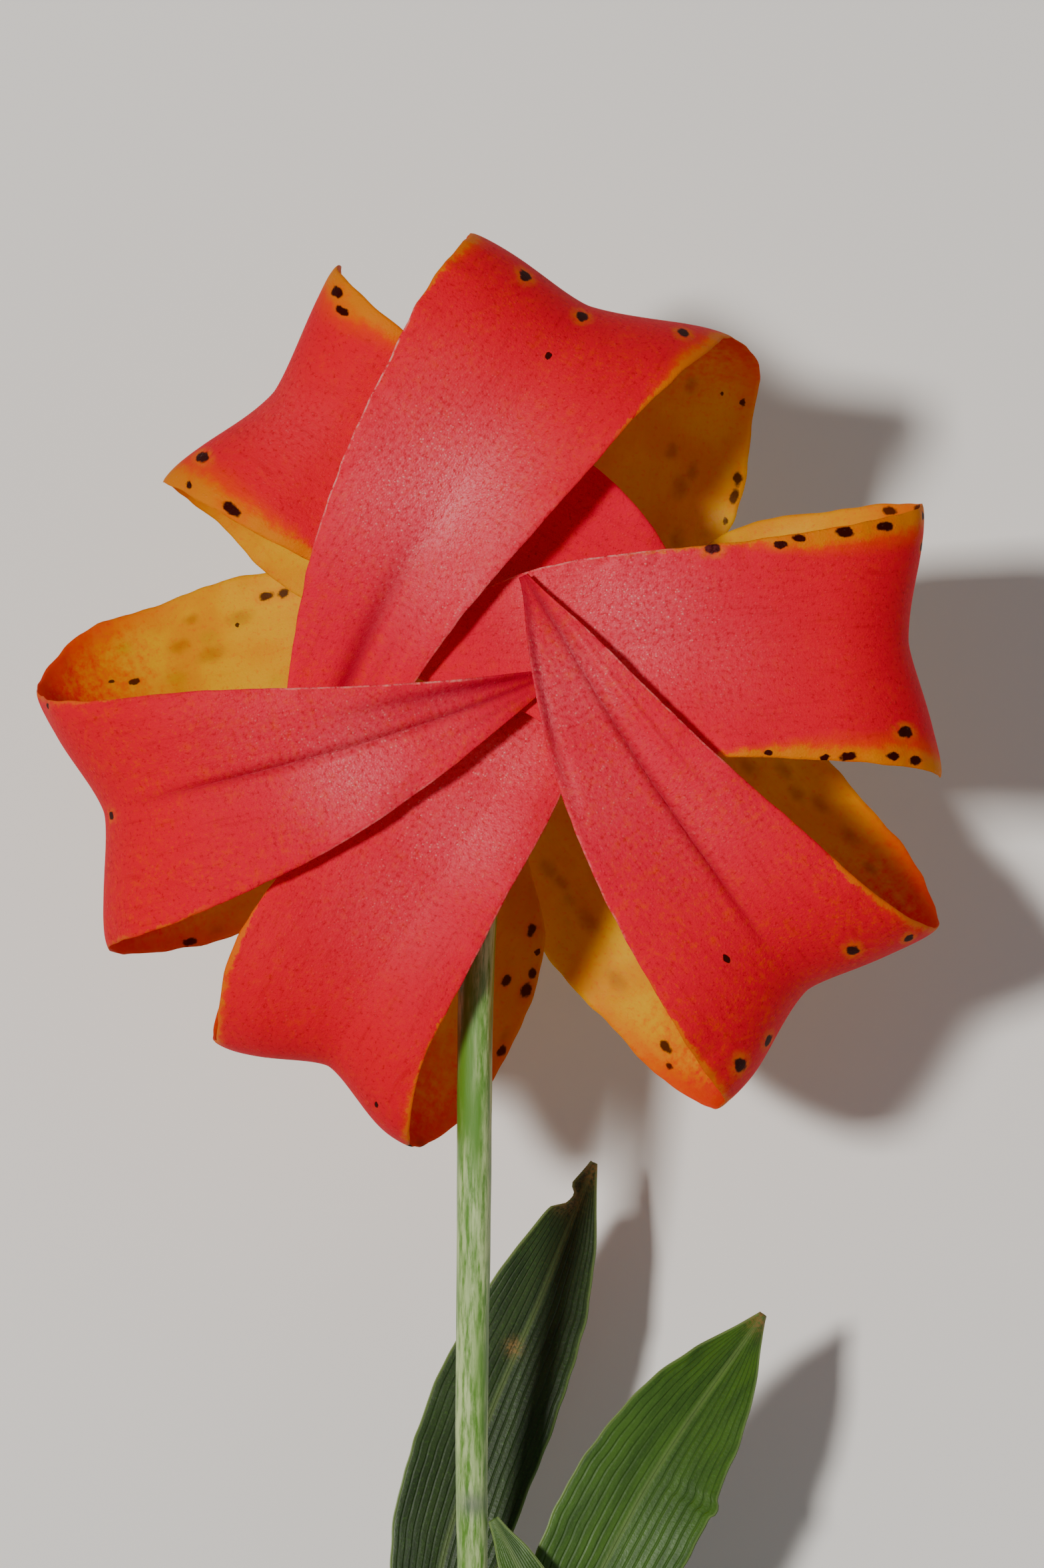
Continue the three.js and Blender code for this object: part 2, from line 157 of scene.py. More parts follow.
OUTER_SPOTS = {
    "petal_top": [
        (-19.5, -15.5, 0.5), (-21, -15.4, 0.5), (-23, -14.9, 0.25), (-12.7, -14.8, 0.3), (-12.2, -12.9, 0.2)],
    "petal_left": [
        (-11.1, 12.4, 0.45), (-25.8, -13.8, 0.5), (-27.3, -13.6, 0.5), (-13.1, -10.2, 0.35),
        (-11.3, -10.8, 0.2), (-22.8, -12.2, 0.15)],
    "petal_lower_right": [(-11.8, -12.1, 0.5), (-10.4, -13, 0.3)],
    "sepal_right": [(-5.2, 11.3, 0.55), (-1.7, 11.2, 0.4)],
    "sepal_lower_left": [
        (-23, 10.1, 0.5), (-18.3, 10, 0.45), (-19.8, 11.8, 0.4), (-18.3, 11.9, 0.55), (-21.5, 11.4, 0.25),
        (-13.2, 12.4, 0.4)],
}
FAINT_BLOTCHES = {
    "petal_top": [
        (-11.7, -10.1, 0.7), (-19.5, -11.5, 0.6), (-20.8, -10.7, 0.8), (-18, -9.5, 0.6), (-25.2, -11.1, 0.8)],
    "petal_left": [(-19.4, -13.9, 0.5), (-23.3, -12.7, 0.8), (-20, -10.5, 0.9), (-17.7, -12, 0.7)],
    "petal_lower_right": [
        (-24.2, 9.1, 0.7), (-22, 11.2, 0.7), (-19.9, 10.7, 0.7), (-18.1, 11.5, 0.7), (-14.5, 11.6, 0.7),
        (-11.5, 11, 0.5), (-28.8, -9.5, 0.8), (-27.4, -9.4, 0.6), (-23.5, -9.9, 0.9), (-18.5, -11.5, 0.8)],
}

# Waxy patches, smoother and shinier, whose colour is also lightened with painted highlight: mm past the bend,
# mm across, reach in mm and strength
GLOSS_WITH_PAINTED_HIGHLIGHT = {
    "petal_top": [(26, 1, 7.5, 1), (31, -3.5, 6, 0.6), (20, 5, 5, 0.3), (-23.3, -12.8, 2.2, 1)],
    "petal_left": [(27.5, 1.3, 5.5, 0.8), (22, -4, 6, 0.3), (35, 0.5, 4, 0.3)],
    "petal_lower_right": [(38, -0.5, 5, 0.65), (30, -3, 6, 0.4), (24, 1, 6, 0.25)],
    "sepal_right": [(27.5, 3, 6.5, 0.95), (33, 5, 5, 0.55), (21, 0, 6, 0.3)],
    "sepal_lower_left": [(34, -2, 5, 0.85), (27, -1, 6, 0.7), (19, -2, 6, 0.35)],
    "sepal_upper_left": [(6, 1.5, 4, 0.2)],
}

# Stretches of margin that are crinkled and lightened with a painted pale highlight: which side (1 is further
# round), start and end of the way, and strength
CRINKLED_MARGIN_HIGHLIGHTS = {
    "petal_top": [(1, 1.27, 1.52, 1), (-1, 1.45, 1.8, 0.35)],
    "petal_left": [(-1, 1.5, 1.8, 0.6), (1, 1.5, 1.7, 0.4)],
    "petal_lower_right": [(1, 1.55, 1.9, 0.55), (-1, 1.4, 1.6, 0.4)],
    "sepal_right": [(1, 1.55, 1.85, 0.9)],
    "sepal_lower_left": [(1, 1.4, 1.8, 0.3)],
}

# Furrows along the inner faces: how far across (-1 to 1) at the start and at the end, depth and width in mm,
# the stretch of the way, and how strongly it is darkened with painted shade. One with less depth than none is
# a raised line.
FURROWS = {
    "petal_top": [(0.1, 0.12, 0.45, 0.8, 1.4, 1.8, 1.0), (-0.35, -0.3, 0.15, 0.8, 1.5, 1.8, 0.3)],
    "petal_left": [
        (0.0, -0.1, 0.5, 0.5, 1.12, 2.0, 1.0), (-0.5, -0.8, 0.5, 0.7, 1.5, 2.0, 1.0),
        (0.43, 0.48, 0.2, 0.4, 1.62, 2.0, 0.5), (-0.3, -0.45, 0.15, 0.4, 1.5, 1.9, 0.4)],
    "petal_lower_right": [
        (-0.08, 0.3, 0.5, 0.5, 1.15, 2.0, 1.0), (-0.93, -0.8, 0.4, 0.5, 1.5, 2.0, 1.0),
        (0.5, 0.64, -0.2, 0.35, 1.3, 1.95, 0.0), (0.4, 0.45, 0.1, 0.4, 1.6, 1.95, 0.5)],
    "sepal_lower_left": [(-0.58, -0.5, 0.12, 0.3, 1.68, 1.9, 0.6)],
    "sepal_right": [(0.1, 0.1, 0.1, 1.0, 1.3, 1.8, 0.0)],
    "sepal_upper_left": [(-0.1, -0.1, 0.1, 1.2, 1.2, 1.8, 0.0)],
}

# Stem, pistil and stamens: paths in mm, and radii in mm by share of the length
STEM_PATH = [
    (0, 0, 0), (0, 0, 1.5), (-0.3, 0.2, 4), (-1.5, -4, 7.3), (-3, -12, 8), (-3.9, -21, 7.6), (-4.3, -45, 5),
    (-4.5, -71, 0.5), (-4, -91, -4.2), (-3, -115, -9.6), (-2, -137, -14.85)]
STEM_RADII = [
    (0, 4.7), (0.007, 4.6), (0.014, 3.6), (0.022, 2.3), (0.032, 1.7), (0.1, 1.55), (0.5, 1.35), (0.6, 1.25),
    (0.64, 1.6), (0.66, 2.2), (0.68, 2.35), (1, 2.35)]
# The stem's cut end, and a stain on it: its place and reach in mm, and both colours as hexadecimal sRGB
CUT_COLOUR = 0xC6CF9A
STAIN_AT = Vector((-4.4, -69.5, 1.8))
STAIN_REACH = 1.1
STAIN_COLOUR = 0x5A4A66
PISTIL_PATH = [
    (0, 0, -0.3), (0, 0, -10), (0, 0, -20), (1.6, -1, -27), (6.2, -3.9, -32.5), (12.6, -7.9, -35.4),
    (18, -11.2, -36)]
PISTIL_RADII = [
    (0, 1), (0.05, 1.15), (0.36, 1.15), (0.42, 0.7), (0.5, 0.5), (0.88, 0.55), (0.93, 1.1), (0.97, 1.6),
    (1, 1.2)]
# How much shorter a stalk's grain is drawn along it than across it
GRAIN_PITCH = 0.11
# Filaments: how far in mm from the axis they start, and how far above the anther's top they end
FILAMENT_SEAT = 1.85
FILAMENT_END = 0.55
FILAMENT_RADII = [(0, 0.4), (0.5, 0.5), (0.9, 0.4), (1, 0.3)]
# Stamens: degrees round the axis, reach in mm, and degrees that the anther is turned by
STAMENS = [(8, 26, 96), (79, 25, 172), (131, 25, 38), (196, 27, 102), (246, 27, 150), (309, 27, 40)]
ANTHER_LENGTH, ANTHER_WIDTH, ANTHER_HEIGHT = 15, 2.8, 2.3
ANTHER_FORM = [
    (-1, 0.35), (-0.93, 0.7), (-0.75, 0.95), (-0.3, 1), (0.3, 1), (0.75, 0.95), (0.93, 0.7), (1, 0.35)]
ANTHER_SECTION = [
    (-0.32, 0), (0.32, 0), (0.48, 0.25), (0.5, 0.6), (0.36, 0.95), (0.16, 0.98), (0, 0.8), (-0.16, 0.98),
    (-0.36, 0.95), (-0.5, 0.6), (-0.48, 0.25)]
# Pollen grains, and clumps of them, per metre
POLLEN_GRAINS = 5200.0
POLLEN_CLUMPS = 900.0

# Leaves: half width by share of the length, and each leaf's width and path in mm
LEAF_WIDTH = [
    (0, 0.22), (0.08, 0.38), (0.2, 0.7), (0.38, 0.97), (0.52, 1), (0.7, 0.86), (0.85, 0.55), (0.95, 0.22),
    (1, 0.06)]
# How far a leaf is folded up along its midrib, as a share of its half width, and how thick its edge is, as a
# share of its middle
LEAF_FOLD = 0.16
LEAF_EDGE = 0.6
LEAF_ROWS = 130
LEAF_COLUMNS = 37
LEAF_VEINS = 8.0
LEAVES = {
    "leaf_1": (12, [(-0.9, -90.2, -3.2), (4.2, -80, -2.2), (11, -67.5, -4), (20.4, -54.6, -9.5)]),
    "leaf_2": (11, [(-6.3, -89, -6), (-7.6, -79, -9), (-4, -66, -12), (1.8, -52.5, -15.5), (6, -42.2, -19)]),
    "leaf_3": (13, [(-6.8, -91.8, -5), (-18, -92, -5.5), (-33, -96, -9), (-50, -103, -17)]),
    "leaf_4": (13, [(-0.6, -93.5, -6.2), (10, -99, -8), (21, -108, -11), (32, -119, -16)]),
    "leaf_5": (12, [(-7.2, -94.6, -6.6), (-13, -105, -9.5), (-18, -119, -12.5), (-22, -134, -14.5)]),
    "bract": (4.4, [(-2.7, -71, 0.4), (-0.5, -75, 1.6), (2, -81, 1.2), (3.5, -88, -1)]),
}

# Nicks in the leaves' margins (less depth than none is a tooth): share of the length, side, half its width
# and its depth in mm. Dried marks: share of the length, mm across and reach in mm
LEAF_NICKS = {
    "leaf_1": [(0.6, -1, 0.7, -0.4)],
    "leaf_2": [(0.925, 1, 1.0, 0.9)],
    "leaf_4": [(0.7, 1, 0.8, 0.4)],
}
LEAF_MARKS = {
    "leaf_1": [(0.99, 0, 1.2)],
    "leaf_2": [(0.65, 0.4, 0.7), (0.925, 1.2, 1.3), (0.99, 0, 1.5)],
    "leaf_3": [(0.99, 0, 1.5)],
    "leaf_4": [(0.7, 3.8, 1.0), (0.99, 0, 1.4)],
    "leaf_5": [(0.4, 2.5, 0.8)],
    "bract": [(0.97, 0, 0.8)],
}


def smoothstep(low, high, x):
    t = min(1.0, max(0.0, (x - low) / (high - low)))
    return t * t * (3 - 2 * t)


def along(points, x):
    """The value at x on straight lines through points (x, y) in order."""
    if x <= points[0][0]:
        return points[0][1]
    for (x0, y0), (x1, y1) in zip(points, points[1:]):
        if x <= x1:
            return y0 + (y1 - y0) * (x - x0) / (x1 - x0)
    return points[-1][1]


def curved(points, x):
    """As along(), but on a smooth curve that never overshoots the points."""
    if x <= points[0][0]:
        return points[0][1]
    if x >= points[-1][0]:
        return points[-1][1]
    k = next(i for i in range(len(points) - 1) if x <= points[i + 1][0])
    slopes = [(b[1] - a[1]) / (b[0] - a[0]) for a, b in zip(points, points[1:])]

    def tangent(i):
        if i == 0 or i == len(points) - 1:
            return slopes[min(i, len(slopes) - 1)]
        before, after = slopes[i - 1], slopes[i]
        return 0.0 if before * after <= 0 else 2 * before * after / (before + after)

    (x0, y0), (x1, y1) = points[k], points[k + 1]
    h = x1 - x0
    t = (x - x0) / h
    return (y0 * (1 + 2 * t) * (1 - t) ** 2 + tangent(k) * h * t * (1 - t) ** 2
            + y1 * t * t * (3 - 2 * t) + tangent(k + 1) * h * t * t * (t - 1))


def plant_to_frame(points):
    """Points in mm round the flower's own axis, to metres in the frame."""
    turn = Matrix.Rotation(math.radians(LAY), 3, "X")
    return [(turn @ p + RECEPTACLE_AT) * MM for p in points]


def above(x, y, height):
    """The point at a height over the surface, in mm round the flower's own axis."""
    slope = math.radians(LAY)
    return Vector((x, y, height / math.cos(slope) - RECEPTACLE_HEIGHT - y * math.tan(slope)))


def spline(points, count):
    """Evenly spaced places and directions along a centripetal curve through the points."""
    p = [Vector(q) for q in points]
    p = [p[0] * 2 - p[1], *p, p[-1] * 2 - p[-2]]
    dense = []
    for a, b, c, d in zip(p, p[1:], p[2:], p[3:]):
        t0 = 0.0
        t1 = t0 + math.sqrt((b - a).length)
        t2 = t1 + math.sqrt((c - b).length)
        t3 = t2 + math.sqrt((d - c).length)
        for k in range(24):
            t = t1 + (t2 - t1) * k / 24
            ab = a.lerp(b, (t - t0) / (t1 - t0))
            bc = b.lerp(c, (t - t1) / (t2 - t1))
            cd = c.lerp(d, (t - t2) / (t3 - t2))
            abc = ab.lerp(bc, (t - t0) / (t2 - t0))
            bcd = bc.lerp(cd, (t - t1) / (t3 - t1))
            dense.append(abc.lerp(bcd, (t - t1) / (t2 - t1)))
    dense.append(p[-2])
    lengths = [0.0]
    for a, b in zip(dense, dense[1:]):
        lengths.append(lengths[-1] + (b - a).length)
    places = []
    k = 0
    for i in range(count + 1):
        want = lengths[-1] * i / count
        while k < len(dense) - 2 and lengths[k + 1] < want:
            k += 1
        span = lengths[k + 1] - lengths[k] or 1.0
        places.append(dense[k].lerp(dense[k + 1], (want - lengths[k]) / span))
    runs = [(places[min(i + 1, count)] - places[max(i - 1, 0)]).normalized() for i in range(count + 1)]
    return places, runs, lengths[-1]


def new_piece(name, points, faces, node, values=None, materials=(), face_material=None):
    """A smooth mesh piece in the frame, with its float attributes, that stands for a CAD node."""
    mesh = bpy.data.meshes.new(name)
    mesh.from_pydata([tuple(p) for p in plant_to_frame(points)], [], faces)
    for key, numbers in (values or {}).items():
        if isinstance(numbers[0], tuple):
            kind, field, numbers = "FLOAT_VECTOR", "vector", [x for vector in numbers for x in vector]
        else:
            kind, field = "FLOAT", "value"
        mesh.attributes.new(key, kind, "POINT").data.foreach_set(field, numbers)
    for material in materials:
        mesh.materials.append(material)
    if face_material:
        mesh.polygons.foreach_set("material_index", face_material)
    mesh.polygons.foreach_set("use_smooth", [True] * len(mesh.polygons))
    mesh.update()
    piece = bpy.data.objects.new(name, mesh)
    bpy.context.scene.collection.objects.link(piece)
    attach(piece, "root")
    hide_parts(node)
    return piece


def sheet_faces(rows, columns):
    """Faces of a closed thin solid with a grid of points on each side, the upper side first."""
    under = rows * columns
    faces = []
    upper = []
    for i in range(rows - 1):
        for j in range(columns - 1):
            a, b = i * columns + j, (i + 1) * columns + j
            faces.append((a, b, b + 1, a + 1))
            upper.append(0)
            faces.append((a + under, a + 1 + under, b + 1 + under, b + under))
            upper.append(1)
    rim = [i * columns for i in range(rows - 1)]
    rim += [(rows - 1) * columns + j for j in range(columns - 1)]
    rim += [i * columns + columns - 1 for i in range(rows - 1, 0, -1)]
    rim += list(range(columns - 1, 0, -1))
    for k, a in enumerate(rim):
        b = rim[(k + 1) % len(rim)]
        faces.append((a, a + under, b + under, b))
        upper.append(1)
    return faces, upper


def grid_normals(grid):
    """The direction that the surface faces at each point of a grid."""
    rows, columns = len(grid), len(grid[0])
    return [
        [
            (grid[min(i + 1, rows - 1)][j] - grid[max(i - 1, 0)][j])
            .cross(grid[i][min(j + 1, columns - 1)] - grid[i][max(j - 1, 0)])
            .normalized()
            for j in range(columns)
        ]
        for i in range(rows)
    ]


def tube_faces(rings, sides):
    """Faces of a closed tube of rings, whose end centres are the last two points."""
    faces = []
    for i in range(rings - 1):
        for j in range(sides):
            a, b = i * sides + j, i * sides + (j + 1) % sides
            faces.append((a, b, b + sides, a + sides))
    first, last = rings * sides, rings * sides + 1
    for j in range(sides):
        k = (j + 1) % sides
        faces.append((first, k, j))
        faces.append((last, (rings - 1) * sides + j, (rings - 1) * sides + k))
    return faces


def tube(path, radii, steps, sides, lobes=None):
    """Points and faces of a round stalk along a path, and each point's share of its length and its grain.

    lobes(share, angle) scales the radius.
    """
    places, runs, length = spline(path, steps)
    normal = runs[0].orthogonal().normalized()
    points, shares, grain = [], [], []
    for i, (place, run) in enumerate(zip(places, runs)):
        normal = (normal - run * normal.dot(run)).normalized()
        side = run.cross(normal)
        share = i / steps
        radius = along(radii, share)
        for j in range(sides):
            angle = 2 * math.pi * j / sides
            r = radius * (lobes(share, angle) if lobes else 1.0)
            points.append(place + normal * (r * math.cos(angle)) + side * (r * math.sin(angle)))
            shares.append(share)
            grain.append((radius * math.cos(angle), radius * math.sin(angle), share * length * GRAIN_PITCH))
    for share, place in ((0.0, places[0]), (1.0, places[-1])):
        points.append(place)
        shares.append(share)
        grain.append((along(radii, share), 0.0, share * length * GRAIN_PITCH))
    return points, tube_faces(steps + 1, sides), shares, grain


def paint(hex_code):
    """A colour for a shader's socket from its hexadecimal sRGB code."""
    channels = [((hex_code >> shift) & 255) / 255 for shift in (16, 8, 0)]
    linear = [c / 12.92 if c <= 0.04045 else ((c + 0.055) / 1.055) ** 2.4 for c in channels]
    return (*linear, 1.0)


def length_property(name, description, default, low, high):
    return bpy.props.FloatProperty(
        name=name, description=description, default=default, min=low, max=high, precision=5, unit="LENGTH")


class LilySizes(bpy.types.PropertyGroup):
    """Sizes that the solids leave open: how thick and how wavy the real skin of each piece is."""

    tepal_thickness: length_property(
        "Tepal Thickness", "Thickness of a tepal at its midrib", 0.0005, 0.0002, 0.0007)
    tepal_margin: length_property(
        "Tepal Margin", "Thickness of a tepal just inside its edge", 0.00028, 0.0001, 0.0006)
    ripple: length_property("Margin Ripple", "Height of the waves along a tepal's edges", 0.0003, 0, 0.001)
    unevenness: length_property(
        "Unevenness", "Height of the low swells over a tepal's whole face", 0.00022, 0, 0.001)
    leaf_thickness: length_property(
        "Leaf Thickness", "Thickness of a leaf beside its midrib", 0.0004, 0.0002, 0.0007)
    cell: length_property(
        "Surface Cell", "Width of the fine bumps that make the tepals glint", 0.0002, 0.00005, 0.001)


def colour_property(name, description, hex_code):
    return bpy.props.FloatVectorProperty(
        name=name, description=description, default=paint(hex_code), size=4, min=0, max=1, subtype="COLOR")


class LilyColours(bpy.types.PropertyGroup):
    """Colours of the flower, its stem and its leaves."""

    yellow: colour_property("Yellow", "Base half of a tepal", 0xF0C000)
    deep_yellow: colour_property("Deep Yellow", "Margins and the rings round the spots", 0xE88A00)
    orange: colour_property("Orange", "A tepal where it starts to bend", 0xF44A00)
    red: colour_property("Red", "Inner face just past the bend", 0xF0002C)
    crimson: colour_property("Crimson", "Inner face towards the tip", 0xF2003C)
    # Painted shade: the furrows of the inner face are darkened with this magenta red
    painted_furrow_shade: colour_property("Magenta", "Furrows in the inner face", 0xB4002C)
    dark_red: colour_property("Dark Red", "Darkest cells of the inner face", 0xB80010)
    # Painted highlight: the pink laid over the waxy patches of the inner face
    gloss_with_painted_highlight: colour_property("Gloss", "Waxy patches of the inner face", 0xFF7482)
    # Painted highlight: pale glints on single cells and crinkled margins, and mixed with yellow on a wet
    # patch
    glint: colour_property("Glint", "Single cells that glint, and dry margins", 0xFFC4B8)
    spot: colour_property("Spot", "Spots on a tepal", 0x3A0A06)
    blotch: colour_property("Blotch", "Spots that show through the outer face", 0x964A10)
    stem: colour_property("Stem Green", "Stem where it is bare", 0x568626)
    stem_bloom: colour_property("Stem Bloom", "Pale waxy bloom on the stem", 0xBCD090)
    leaf: colour_property("Leaf Green", "The brighter leaves", 0x42651A)
    # Painted shade: a darker copy of the leaf green for the leaves that lie in shade
    shaded_leaf_green: colour_property("Dark Leaf Green", "The darker leaves", 0x2E421C)
    leaf_rib: colour_property("Leaf Rib", "Midrib and edge of a leaf", 0x8FA562)
    leaf_brown: colour_property("Leaf Brown", "Dried edges and marks on the leaves", 0x8A6A3A)
    filament: colour_property("Filament", "Filaments and style", 0xC9CF7A)
    stigma: colour_property("Stigma", "Stigma at the end of the style", 0x6B4A2A)
    anther: colour_property("Anther", "Anthers under their pollen", 0x6E2412)
    pollen: colour_property("Pollen", "Pollen on the anthers", 0xB5561E)
    floor: colour_property("Floor", "Plain floor", 0xF4F2EF)


class LilyLight(bpy.types.PropertyGroup):
    """Studio light."""

    key: bpy.props.FloatProperty(
        name="Key Light", description="Power of the light from the upper left", default=10.4, min=0,
        unit="POWER")
    key_size: bpy.props.FloatProperty(
        name="Key Size", description="Side of the key light's square", default=0.1, min=0.01, unit="LENGTH")
    fill: bpy.props.FloatProperty(
        name="Fill Light", description="Power of the light from the right", default=0.8, min=0, unit="POWER")
    world: bpy.props.FloatProperty(
        name="Room Light", description="Strength of the even light from all round", default=0.14, min=0)


def feed(tree, socket, value):
    """Gives a socket a fixed value, or links another node's output to it."""
    if isinstance(value, bpy.types.NodeSocket):
        tree.links.new(value, socket)
    else:
        socket.default_value = value


def add(tree, kind, inputs=None, **settings):
    """A node with its settings. Each input is a value or another node's output."""
    made = tree.nodes.new(kind)
    for key, value in settings.items():
        setattr(made, key, value)
    for key, value in (inputs or {}).items():
        feed(tree, made.inputs[key], value)
    return made


def calculate(tree, operation, *values):
    return add(tree, "ShaderNodeMath", dict(enumerate(values)), operation=operation).outputs[0]


def plus(tree, total, *more):
    for value in more:
        total = calculate(tree, "ADD", total, value)
    return total


def minus(tree, first, second):
    return calculate(tree, "SUBTRACT", first, second)


def times(tree, first, second):
    return calculate(tree, "MULTIPLY", first, second)


def larger(tree, first, second):
    return calculate(tree, "MAXIMUM", first, second)


def scaled(tree, value, factor, more):
    """The value times a factor, and something more."""
    return calculate(tree, "MULTIPLY_ADD", value, factor, more)


def rise(tree, value, low, high, start=0.0, end=1.0):
    """A smooth step from start to end as the value goes from low to high."""
    inputs = {"Value": value, "From Min": low, "From Max": high, "To Min": start, "To Max": end}
    return add(tree, "ShaderNodeMapRange", inputs, interpolation_type="SMOOTHSTEP").outputs[0]


def blend(tree, factor, first, second, how="MIX"):
    """The two colours mixed. In a Mix node, sockets 0, 6 and 7 are its factor and its two colours."""
    inputs = {0: factor, 6: first, 7: second}
    return add(tree, "ShaderNodeMix", inputs, data_type="RGBA", blend_type=how).outputs[2]


def layered(tree, colour, *layers):
    """Lays colours over a first one. Each layer is a mask and a colour."""
    for mask, tint in layers:
        colour = blend(tree, mask, colour, tint)
    return colour


def attributes(tree, *names):
    """The numbers that a piece's points carry, by name."""
    return [add(tree, "ShaderNodeAttribute", attribute_name=name).outputs["Fac"] for name in names]


def attribute(tree, name):
    return attributes(tree, name)[0]


def grain_of(tree):
    return add(tree, "ShaderNodeAttribute", attribute_name="grain").outputs["Vector"]


def pair(tree, x, y, z=0.0):
    return add(tree, "ShaderNodeCombineXYZ", {"X": x, "Y": y, "Z": z}).outputs[0]


def noise_value(tree, vector, scale, detail=2.0, roughness=0.5, seed=0.0):
    inputs = {"Vector": vector, "W": seed, "Scale": scale, "Detail": detail, "Roughness": roughness}
    return add(tree, "ShaderNodeTexNoise", inputs, noise_dimensions="4D").outputs[0]


def voronoi_cells(tree, vector, scale, randomness):
    """Scattered cells: how far a point is from its cell's centre, and three random shares for each cell."""
    inputs = {"Vector": vector, "Scale": scale, "Randomness": randomness}
    cells = add(tree, "ShaderNodeTexVoronoi", inputs).outputs
    return cells["Distance"], cells["Color"]


def node_group(name, defaults, outputs):
    """Turns a function that wires a group into one that adds the group to a tree and returns its outputs."""
    def marked(wire):
        def use(tree, inputs):
            group = bpy.data.node_groups.get(name)
            if not group:
                group = bpy.data.node_groups.new(name, "ShaderNodeTree")
                for label, default in defaults.items():
                    kind = "NodeSocketVector" if default is None else "NodeSocketFloat"
                    socket = group.interface.new_socket(label, in_out="INPUT", socket_type=kind)
                    if default is not None:
                        socket.default_value = default
                for label in outputs:
                    group.interface.new_socket(label, in_out="OUTPUT", socket_type="NodeSocketFloat")
                given = group.nodes.new("NodeGroupInput").outputs
                result = group.nodes.new("NodeGroupOutput").inputs
                for label, value in zip(outputs, wire(group, given)):
                    group.links.new(value, result[label])
            return add(tree, "ShaderNodeGroup", inputs, node_tree=group).outputs
        return use
    return marked


@node_group("Spot", {
    "Along": 0.0, "Across": 0.0, "Wobble": 0.5,
    "At Along": 0.0, "At Across": 0.0, "Radius": 0.6, "Blur": 0.1}, ["Mask", "Ring"])
def spot(tree, given):
    """One spot, longer than wide, round a place given in mm, and the ring of lighter skin round it."""
    along_off = minus(tree, given["Along"], given["At Along"])
    across_off = times(tree, minus(tree, given["Across"], given["At Across"]), SPOT_STRETCH)
    squares = scaled(tree, across_off, across_off, times(tree, along_off, along_off))
    distance = minus(tree, calculate(tree, "SQRT", squares), 0.58)
    uneven = scaled(tree, given["Wobble"], 1.0, distance)
    radius = given["Radius"]
    blur = times(tree, radius, given["Blur"])
    mask = rise(tree, uneven, plus(tree, radius, blur), minus(tree, radius, blur))
    reach = scaled(tree, radius, 2.2, 0.4)
    ring = times(tree, rise(tree, uneven, reach, radius), rise(tree, radius, 0.15, 0.6))
    return mask, ring


@node_group("Throat Spots", {
    "Along": 0.0, "Across": 0.0, "Way": 0.0, "Margin": 0.0, "Blur": 0.1, "Seed": 0.0}, ["Mask"])
def throat_spots(tree, given):
    """Spots strewn over a tepal's base half. Blur spreads them, as they show through from the other face."""
    place = pair(tree, times(tree, given["Along"], 0.26), times(tree, given["Across"], 0.36), given["Seed"])
    distance, shares = voronoi_cells(tree, place, 1.0, 0.85)
    wobble = noise_value(tree, place, 3.0, 2.0)
    uneven = scaled(tree, wobble, 0.12, minus(tree, distance, 0.06))
    size = add(tree, "ShaderNodeSeparateXYZ", {0: shares}).outputs[0]
    radius = scaled(tree, size, 0.16, 0.1)
    drawn = rise(tree, uneven, plus(tree, radius, given["Blur"]), minus(tree, radius, given["Blur"]))
    in_throat = rise(tree, given["Way"], 0.98, 0.72)
    clear = rise(tree, given["Margin"], 0.4, 1.2)
    some = calculate(tree, "GREATER_THAN", size, 0.18)
    return [times(tree, times(tree, drawn, in_throat), times(tree, clear, some))]


@node_group("Petal Cells", {"Along": 0.0, "Across": 0.0, "Cell": 0.2}, [
    "Height", "Glint", "Grain", "Mottle", "Patch", "Streak"])
def petal_cells(tree, given):
    """The fine cells of a petal's skin: height, the few that glint, grain, slow blotches and long streaks."""
    place = pair(tree, given["Along"], given["Across"])
    fine = calculate(tree, "DIVIDE", 1.0, given["Cell"])
    distance, shares = voronoi_cells(tree, place, fine, 1.0)
    dome = rise(tree, distance, 0.75, 0.0)
    grain = noise_value(tree, place, times(tree, fine, 0.5), 3.0, 0.7)
    height = scaled(tree, grain, 0.9, times(tree, dome, 0.5))
    chosen = add(tree, "ShaderNodeSeparateXYZ", {0: shares}).outputs[1]
    glint = times(tree, rise(tree, chosen, 0.84, 0.98), dome)
    mottle = noise_value(tree, place, 1.2, 5.0, 0.72)
    patch = noise_value(tree, place, 0.2, 3.0)
    drawn_out = pair(tree, times(tree, given["Along"], 0.12), given["Across"])
    return height, glint, grain, mottle, patch, noise_value(tree, drawn_out, 1.8, 4.0, 0.65)


@node_group("Long Veins", {"Share": 0.0, "Along": 0.0, "Count": 9.0}, ["Line"])
def long_veins(tree, given):
    """Fine veins that run from end to end and draw together where the piece narrows."""
    sway = noise_value(tree, pair(tree, given["Along"], given["Share"]), 0.06, 2.0)
    place = scaled(tree, sway, 0.25, times(tree, given["Share"], given["Count"]))
    return [rise(tree, calculate(tree, "PINGPONG", place, 0.5), 0.2, 0.0)]


@node_group("Waxy Bloom", {"Grain": None}, ["Mask", "Height"])
def waxy_bloom(tree, given):
    """Pale waxy bloom, rubbed into long streaks and worn off in patches."""
    streaks = noise_value(tree, given["Grain"], 2.6, 5.0, 0.7)
    patches = noise_value(tree, given["Grain"], 0.5, 3.0, 0.55, seed=4.0)
    return times(tree, rise(tree, streaks, 0.36, 0.62), rise(tree, patches, 0.36, 0.56)), streaks


def new_material(name):
    """A material that holds only a Principled shader. Returns it, its tree and the shader."""
    material = bpy.data.materials.new(name)
    material.use_nodes = True
    tree = material.node_tree
    return material, tree, tree.nodes["Principled BSDF"]


